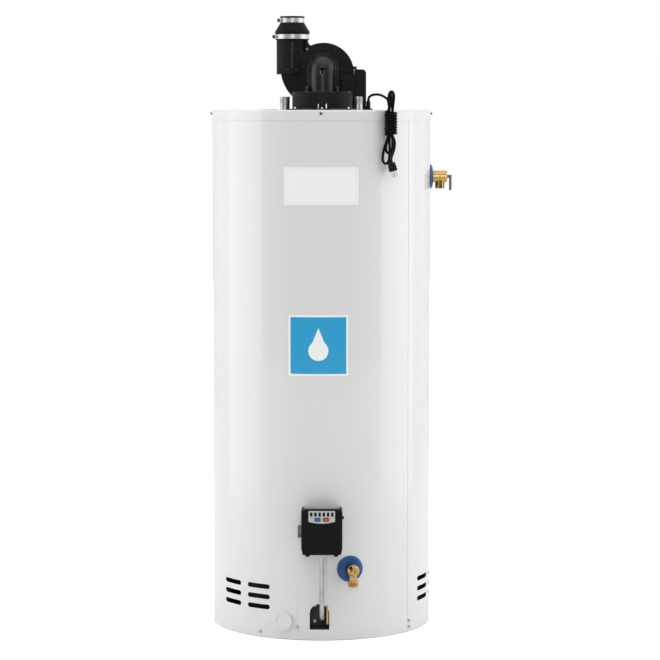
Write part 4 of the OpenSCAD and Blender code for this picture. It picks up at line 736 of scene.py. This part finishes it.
# every finish, by the record's slot
finishes = {
    "white_paint": dict(color=(0.735, 0.735, 0.733), tint=(0.715, 0.715, 0.715), mottle=0.35,
                        roughness=0.34, roughVary=0.03, specular=0.35, coat=1.0, coatRoughness=0.05,
                        grainScale=420, bump=0.10, bumpDepth=0.00006, edgeWidth=0.0008, wearAndEdgeLight=0.12,
                        wearAndEdgeLightColor=(0.55, 0.55, 0.55), dust=0.05, dustColor=(0.66, 0.65, 0.63)),
    "white_plastic": dict(color=(0.76, 0.76, 0.75), tint=(0.71, 0.71, 0.69), roughness=0.42,
                          grainScale=1500, bump=0.12, bumpDepth=0.00005, edgeWidth=0.0007, dust=0.1,
                          dustColor=(0.6, 0.59, 0.57)),
    "pan_steel": dict(color=(0.10, 0.10, 0.11), roughness=0.5, grainScale=700, wearAndEdgeLight=0.4,
                      wearAndEdgeLightColor=(0.35, 0.34, 0.33), wearMetal=0.8, dust=0.4),
    "zinc": dict(color=(0.62, 0.625, 0.635), tint=(0.48, 0.48, 0.48), mottle=0.6, metallic=1.0,
                 roughness=0.36, grainScale=2600, broadScale=260, bump=0.2, edgeWidth=0.0003,
                 marks=screwMarks),
    "foam": dict(color=(0.78, 0.68, 0.40), tint=(0.62, 0.50, 0.25), mottle=0.7, roughness=0.9,
                 grainScale=260, bump=0.8, bumpDepth=0.001),
    "tank_steel": dict(color=(0.020, 0.022, 0.027), tint=(0.012, 0.014, 0.018), mottle=0.6, roughness=0.42,
                       grainScale=500, bump=0.3, wearAndEdgeLight=0.2, wearAndEdgeLightColor=(0.1, 0.1, 0.1), specular=0.2),
    "heat_steel": dict(color=(0.34, 0.32, 0.30), tint=(0.20, 0.12, 0.08), mottle=0.75, metallic=0.9,
                       roughness=0.5, broadScale=26, grainScale=900, bump=0.3, brush=(1, 1, 0.05),
                       brushAmount=0.3),
    "magnesium": dict(color=(0.55, 0.56, 0.57), metallic=0.9, roughness=0.5, brush=(1, 1, 0.04),
                      brushAmount=0.3),
    "nipple_steel": dict(color=(0.60, 0.61, 0.58), tint=(0.48, 0.49, 0.44), mottle=0.3, metallic=1.0,
                         roughness=0.38, broadScale=40, brush=(1, 1, 0.01), brushScale=900,
                         brushAmount=0.15, grainScale=2400, bump=0.06, edgeWidth=0.0005, wearAndEdgeLight=0.4,
                         wearAndEdgeLightColor=(0.78, 0.78, 0.76)),
    "ceramic_white": dict(color=(0.82, 0.81, 0.77), roughness=0.25, coat=0.4, grainScale=1200, bump=0.05),
    "dark_sheet": dict(color=(0.035, 0.035, 0.038), tint=(0.06, 0.055, 0.05), mottle=0.6, roughness=0.48,
                       grainScale=1100, broadScale=40, edgeWidth=0.0005, wearAndEdgeLight=0.3,
                       wearAndEdgeLightColor=(0.25, 0.24, 0.23), wearMetal=0.7, dust=0.2),
    "gas_tube": dict(color=(0.62, 0.63, 0.64), tint=(0.36, 0.37, 0.38), mottle=0.5, metallic=1.0,
                     roughness=0.15, roughVary=0.06, broadScale=70, brush=(1, 1, 0.02), brushScale=400,
                     brushAmount=0.7, bump=0.05),
    "cable_orange": dict(color=(0.55, 0.42, 0.10), tint=(0.46, 0.33, 0.08), mottle=0.5, roughness=0.5,
                         broadScale=90, grainScale=3000, bump=0.3, dust=0.1, marks=cableMarks),
    "label_white": dict(color=(0.93, 0.935, 0.935), tint=(0.91, 0.915, 0.92), mottle=0.2, roughness=0.24,
                        roughVary=0.03, coat=0.5, coatRoughness=0.06, grainScale=700, bump=0.05,
                        bumpDepth=0.00004, marks=upperLabelMarks),
    "label_blue": dict(color=(0.019, 0.35, 0.64), tint=(0.026, 0.37, 0.66), mottle=0.2, roughness=0.28,
                       roughVary=0.03, coat=0.4, coatRoughness=0.08, grainScale=700, bump=0.05,
                       bumpDepth=0.00004, marks=lowerLabelMarks),
    "ring_blue": dict(color=(0.007, 0.072, 0.25), tint=(0.006, 0.055, 0.20), mottle=0.5, roughness=0.30,
                      broadScale=45, grainScale=1800, bump=0.12, edgeWidth=0.001, wearAndEdgeLight=0.15,
                      wearAndEdgeLightColor=(0.07, 0.16, 0.38), dust=0.05),
    "valve_brass": dict(color=(0.64, 0.43, 0.15), tint=(0.40, 0.24, 0.08), mottle=0.5, metallic=1.0,
                        roughness=0.17, broadScale=75, grainScale=1500, bump=0.15, bumpDepth=0.0001,
                        brush=(0.2, 0.2, 1), brushScale=1400, brushAmount=0.14, edgeWidth=0.0006, wearAndEdgeLight=0.5,
                        wearAndEdgeLightColor=(0.80, 0.60, 0.28), dust=0.08),
    "spring_steel": dict(color=(0.52, 0.52, 0.53), metallic=1.0, roughness=0.28, brush=(1, 0.05, 1),
                         brushAmount=0.25, edgeWidth=0.0003, wearAndEdgeLight=0.3, wearAndEdgeLightColor=(0.75, 0.75, 0.75)),
    "lever_steel": dict(color=(0.17, 0.175, 0.18), tint=(0.11, 0.11, 0.11), mottle=0.5, metallic=0.9,
                        roughness=0.34, broadScale=80, grainScale=1900, edgeWidth=0.0004, wearAndEdgeLight=0.6,
                        wearAndEdgeLightColor=(0.5, 0.5, 0.5)),
    "cast_alloy": dict(color=(0.20, 0.205, 0.21), tint=(0.13, 0.135, 0.14), mottle=0.6, metallic=0.95,
                       roughness=0.42, broadScale=60, grainScale=650, bump=0.5, bumpDepth=0.0002,
                       edgeWidth=0.0008, wearAndEdgeLight=0.5, wearAndEdgeLightColor=(0.45, 0.46, 0.47), dust=0.05),
    # painted edge highlight: the pale edge line of this black plastic stands in for the light along its rims
    "control_plastic": dict(color=(0.0045, 0.0045, 0.005), tint=(0.008, 0.008, 0.0085), mottle=0.6,
                            roughness=0.50, specular=0.12, grainScale=1300, broadScale=25, bump=0.35,
                            bumpDepth=0.00012, edgeWidth=0.0011, wearAndEdgeLight=0.16, wearAndEdgeLightColor=(0.05, 0.05, 0.052),
                            dust=0.035, dustColor=(0.30, 0.29, 0.27), marks=controlTopLightMarks),
    "board_green": dict(color=(0.02, 0.14, 0.06), tint=(0.05, 0.2, 0.09), mottle=0.5, roughness=0.3,
                        broadScale=240, coat=0.3),
    "panel_grey": dict(color=(0.46, 0.51, 0.455), tint=(0.42, 0.47, 0.42), mottle=0.35, roughness=0.36,
                       broadScale=30, grainScale=2200, bump=0.08, edgeWidth=0.0003, marks=panelMarks),
    "window_dark": dict(color=(0.010, 0.010, 0.012), tint=(0.016, 0.016, 0.018), roughness=0.2,
                        specular=0.25, bump=0.03, edgeWidth=0.0003),
    "button_blue": dict(color=(0.008, 0.048, 0.28), tint=(0.006, 0.04, 0.22), roughness=0.36,
                        grainScale=2400, bump=0.2, edgeWidth=0.0009, wearAndEdgeLight=0.2, wearAndEdgeLightColor=(0.05, 0.13, 0.40),
                        marks=signMarks("cooler_button", False)),
    "button_red": dict(color=(0.34, 0.012, 0.010), tint=(0.27, 0.009, 0.008), roughness=0.36,
                       grainScale=2400, bump=0.2, edgeWidth=0.0009, wearAndEdgeLight=0.2, wearAndEdgeLightColor=(0.46, 0.07, 0.05),
                       marks=signMarks("warmer_button", True)),
    # painted edge highlight: the broad pale edge line stands in for the light on the hood's lip and the
    # drum's rims
    "blower_plastic": dict(color=(0.014, 0.014, 0.0145), tint=(0.017, 0.017, 0.0175), mottle=0.6,
                           roughness=0.42, specular=0.08, grainScale=1100, broadScale=20, bump=0.35,
                           bumpDepth=0.00014, edgeWidth=0.0024, wearAndEdgeLight=1.0, wearAndEdgeLightColor=(0.30, 0.30, 0.303),
                           dust=0.02, dustColor=(0.28, 0.27, 0.25), marks=hoodSlotShadeMarks,
                           polished=(hoodShine, 0.36, 0.45)),
    # painted edge highlight: the pale edge line stands in for the light along the housing's rims
    "housing_plastic": dict(color=(0.012, 0.012, 0.0125), tint=(0.015, 0.015, 0.0155), mottle=0.6,
                            roughness=0.50, specular=0.07, grainScale=1100, broadScale=20, bump=0.35,
                            bumpDepth=0.00012, edgeWidth=0.0024, wearAndEdgeLight=0.7, wearAndEdgeLightColor=(0.13, 0.13, 0.132),
                            dust=0.02, dustColor=(0.28, 0.27, 0.25), marks=ribHighlightMarks),
    "wheel_steel": dict(color=(0.45, 0.46, 0.47), tint=(0.34, 0.35, 0.37), mottle=0.7, metallic=0.9,
                        roughness=0.36, broadScale=130),
    "fan_plastic": dict(color=(0.035, 0.035, 0.038), roughness=0.45, bump=0.25, edgeWidth=0.0005, dust=0.2),
    "motor_paint": dict(color=(0.035, 0.035, 0.038), tint=(0.05, 0.05, 0.052), roughness=0.32,
                        grainScale=650, bump=0.25, coat=0.3, edgeWidth=0.0009, wearAndEdgeLight=0.35,
                        wearAndEdgeLightColor=(0.2, 0.2, 0.2), wearMetal=0.5, dust=0.3),
    "vent_rubber": dict(color=(0.004, 0.004, 0.0042), tint=(0.007, 0.007, 0.007), mottle=0.6,
                        roughness=0.52, specular=0.12, broadScale=45, grainScale=1300, bump=0.3,
                        edgeWidth=0.0012, dust=0.05, dustColor=(0.22, 0.21, 0.2)),
    "clamp_steel": dict(color=(0.72, 0.72, 0.71), tint=(0.60, 0.60, 0.59), mottle=0.4, metallic=1.0,
                        roughness=0.40, roughVary=0.05, broadScale=60, brush=(0.06, 0.06, 1),
                        brushScale=1600, brushAmount=0.2, bump=0.12, edgeWidth=0.0003, marks=clampMarks),
    "box_plastic": dict(color=(0.0105, 0.0105, 0.011), tint=(0.014, 0.014, 0.0145), mottle=0.6,
                        roughness=0.50, specular=0.09, grainScale=1000, bump=0.4, bumpDepth=0.00016,
                        edgeWidth=0.0012, wearAndEdgeLight=0.15, wearAndEdgeLightColor=(0.07, 0.07, 0.07), dust=0.035,
                        dustColor=(0.28, 0.27, 0.25)),
    "cord_black": dict(color=(0.0018, 0.0018, 0.0022), tint=(0.003, 0.003, 0.003), mottle=0.6,
                       roughness=0.40, specular=0.09, broadScale=110, grainScale=2600, bump=0.35,
                       bumpDepth=0.00012, edgeWidth=0.0002, dust=0.03, dustColor=(0.2, 0.2, 0.19)),
    "plug_black": dict(color=(0.004, 0.004, 0.0045), tint=(0.007, 0.007, 0.007), mottle=0.6, specular=0.2,
                       roughness=0.44, broadScale=90, grainScale=2200, bump=0.35, edgeWidth=0.0012,
                       dust=0.04, dustColor=(0.2, 0.2, 0.19)),
    "prong_metal": dict(color=(0.72, 0.70, 0.62), tint=(0.6, 0.57, 0.48), metallic=1.0, roughness=0.2,
                        broadScale=200, brush=(1, 1, 0.05), brushScale=2400, brushAmount=0.2,
                        edgeWidth=0.0004, wearAndEdgeLight=0.3, wearAndEdgeLightColor=(0.85, 0.82, 0.7)),
}


def dress():
    # every node by the record's slot, and the new pieces by the slot of what they stand on
    made = {slot: makeFinish(slot, **values) for slot, values in finishes.items()}
    slotOf = {part["node"]: part["material_slot"] for part in frame["record"]["subparts"]}
    for name, node in nodes.items():
        for place in node.material_slots:
            place.material = made[slotOf[name]]
    for piece, slot in [(powerCord, "cord_black"), (plugBoot, "plug_black"), (threads[0], "nipple_steel"),
                        (threads[1], "nipple_steel"), (threads[2], "valve_brass")]:
        piece.data.materials.append(made[slot])
    return made


made = dress()
print("finishes:", len(made))


# Studio: floor, sky, lamps and screens.
studio = {
    "skyDiffuse": 1.14,
    "floorColor": (0.78, 0.78, 0.78), "floorSize": 14.0, "floorGlow": 0.44, "glowFrom": 0.45, "glowTo": 2.6,
    "sideAngle": 86.0, "sideDistance": 2.6, "sideSize": (2.2, 3.0), "sideHeight": 1.2, "sideWatts": 16.5,
    # place, what the lamp aims at, size and watts
    "topLamp": ((0, -0.8, 4.2), (0, 0, 1.0), (2.2, 2.2), 6.0),
    "frontStrip": ((0.10, -6.4, 2.5), (0, 0, 1.5), (0.9, 1.3), 44.0),
    # curved screens out of view, the flags seen by gloss alone: radius, first and last angle, height, colour
    "screenSteps": 40, "screenFoot": 0.02,
    "screens": {"frontScreen": (7.6, -38.0, 38.0, 5.2, (0.08, 0.08, 0.08)),
                "frontFlag": (7.5, -63.0, 63.0, 5.2, (0.10, 0.10, 0.10)),
                "leftFlag": (5.0, -210.0, -138.0, 5.2, (0.82, 0.82, 0.82)),
                "rightFlag": (5.0, 138.0, 210.0, 5.2, (0.82, 0.82, 0.82))},
}


def addFloor():
    # a level square, matte, with its glow for the camera alone
    size = studio["floorSize"]
    grid = np.array([[(-size, -size, 0), (size, -size, 0)], [(-size, size, 0), (size, size, 0)]], float)
    mesh = bpy.data.meshes.new("floor")
    mesh.from_pydata([tuple(p) for p in grid.reshape(-1, 3)], [], [(0, 1, 3, 2)])
    floor = bpy.data.objects.new("floor", mesh)
    bpy.context.scene.collection.objects.link(floor)
    material = bpy.data.materials.new("floorPaint")
    material.use_nodes = True
    tree = material.node_tree
    tree.nodes.remove(tree.nodes["Principled BSDF"])
    matte = addNode(tree, "ShaderNodeBsdfDiffuse", Color=rgba(studio["floorColor"]))
    rays = tree.nodes.new("ShaderNodeLightPath")
    # the glow grows with distance, so that the floor ends in white and keeps the shadow under the object
    where = tree.nodes.new("ShaderNodeTexCoord")
    away = addNode(tree, "ShaderNodeVectorMath", {"operation": "LENGTH"}, _0=(where, "Object"))
    level = addNode(tree, "ShaderNodeMapRange", {"interpolation_type": "SMOOTHSTEP"}, Value=(away, "Value"),
                    From__Min=studio["glowFrom"], From__Max=studio["glowTo"], To__Min=studio["floorGlow"],
                    To__Max=1.0)
    strength = mathNode(tree, "MULTIPLY", (rays, "Is Camera Ray"), (level, "Result"))
    glow = addNode(tree, "ShaderNodeEmission", Color=rgba((1, 1, 1)), Strength=strength)
    total = addNode(tree, "ShaderNodeAddShader", _0=(matte, "BSDF"), _1=(glow, "Emission"))
    tree.links.new(total.outputs[0], tree.nodes["Material Output"].inputs["Surface"])
    mesh.materials.append(material)


def addSky():
    # white where the camera, gloss or glass looks at it, and a plain level of light for everything else
    world = bpy.data.worlds.new("studioSky")
    bpy.context.scene.world = world
    world.use_nodes = True
    tree = world.node_tree
    rays = tree.nodes.new("ShaderNodeLightPath")
    seen = either(tree, (rays, "Is Camera Ray"), (rays, "Is Glossy Ray"))
    seen = either(tree, seen, (rays, "Is Transmission Ray"))
    background = tree.nodes["Background"]
    background.inputs["Color"].default_value = (1, 1, 1, 1)
    strength = stretched(tree, seen, (0.0, 1.0), (studio["skyDiffuse"], 1.0))
    feed(tree, background.inputs["Strength"], strength)


def addLamp(name, place, aim, size, watts):
    # a rectangular lamp, turned to face what it aims at
    data = bpy.data.lights.new(name, "AREA")
    data.shape = "RECTANGLE"
    data.size, data.size_y = size
    data.energy = watts
    lamp = bpy.data.objects.new(name, data)
    lamp.location = place
    toward = Vector(aim) - Vector(place)
    lamp.rotation_euler = toward.to_track_quat("-Z", "Y").to_euler()
    bpy.context.scene.collection.objects.link(lamp)


def addScreen(name, radius, first, last, tall, color):
    # an upright band bent round the object: radius (sin a, -cos a), from its foot up to its height; the dark
    # front screen gives metal and paint their darker middle, the grey flags draw the outline's edges
    steps = studio["screenSteps"]
    turn = np.radians(np.linspace(first, last, steps))[None, :]
    height = np.array([studio["screenFoot"], tall])[:, None]
    grid = np.stack(np.broadcast_arrays(radius * np.sin(turn), -radius * np.cos(turn), height), axis=-1)
    quads = [(i, i + 1, i + steps + 1, i + steps) for i in range(steps - 1)]
    mesh = bpy.data.meshes.new(name)
    mesh.from_pydata([tuple(p) for p in grid.reshape(-1, 3)], [], quads)
    screen = bpy.data.objects.new(name, mesh)
    bpy.context.scene.collection.objects.link(screen)
    material = bpy.data.materials.new(name + "Cloth")
    material.use_nodes = True
    cloth = material.node_tree.nodes["Principled BSDF"]
    cloth.inputs["Base Color"].default_value = rgba(color)
    cloth.inputs["Roughness"].default_value = 1.0
    mesh.materials.append(material)
    screen.visible_camera = False
    if name.endswith("Flag"):
        screen.visible_diffuse = screen.visible_shadow = False


addFloor()
addSky()
for name, values in studio["screens"].items():
    addScreen(name, *values)
turn = math.radians(studio["sideAngle"])
aside, ahead = studio["sideDistance"] * math.sin(turn), -studio["sideDistance"] * math.cos(turn)
for name, x in (("leftLamp", -aside), ("rightLamp", aside)):
    addLamp(name, (x, ahead, studio["sideHeight"]), (0, 0, studio["sideHeight"]), studio["sideSize"],
            studio["sideWatts"])
for name in ("topLamp", "frontStrip"):
    addLamp(name, *studio[name])
print("studio lit")

view = bpy.context.scene.view_settings
view.view_transform = "Standard"
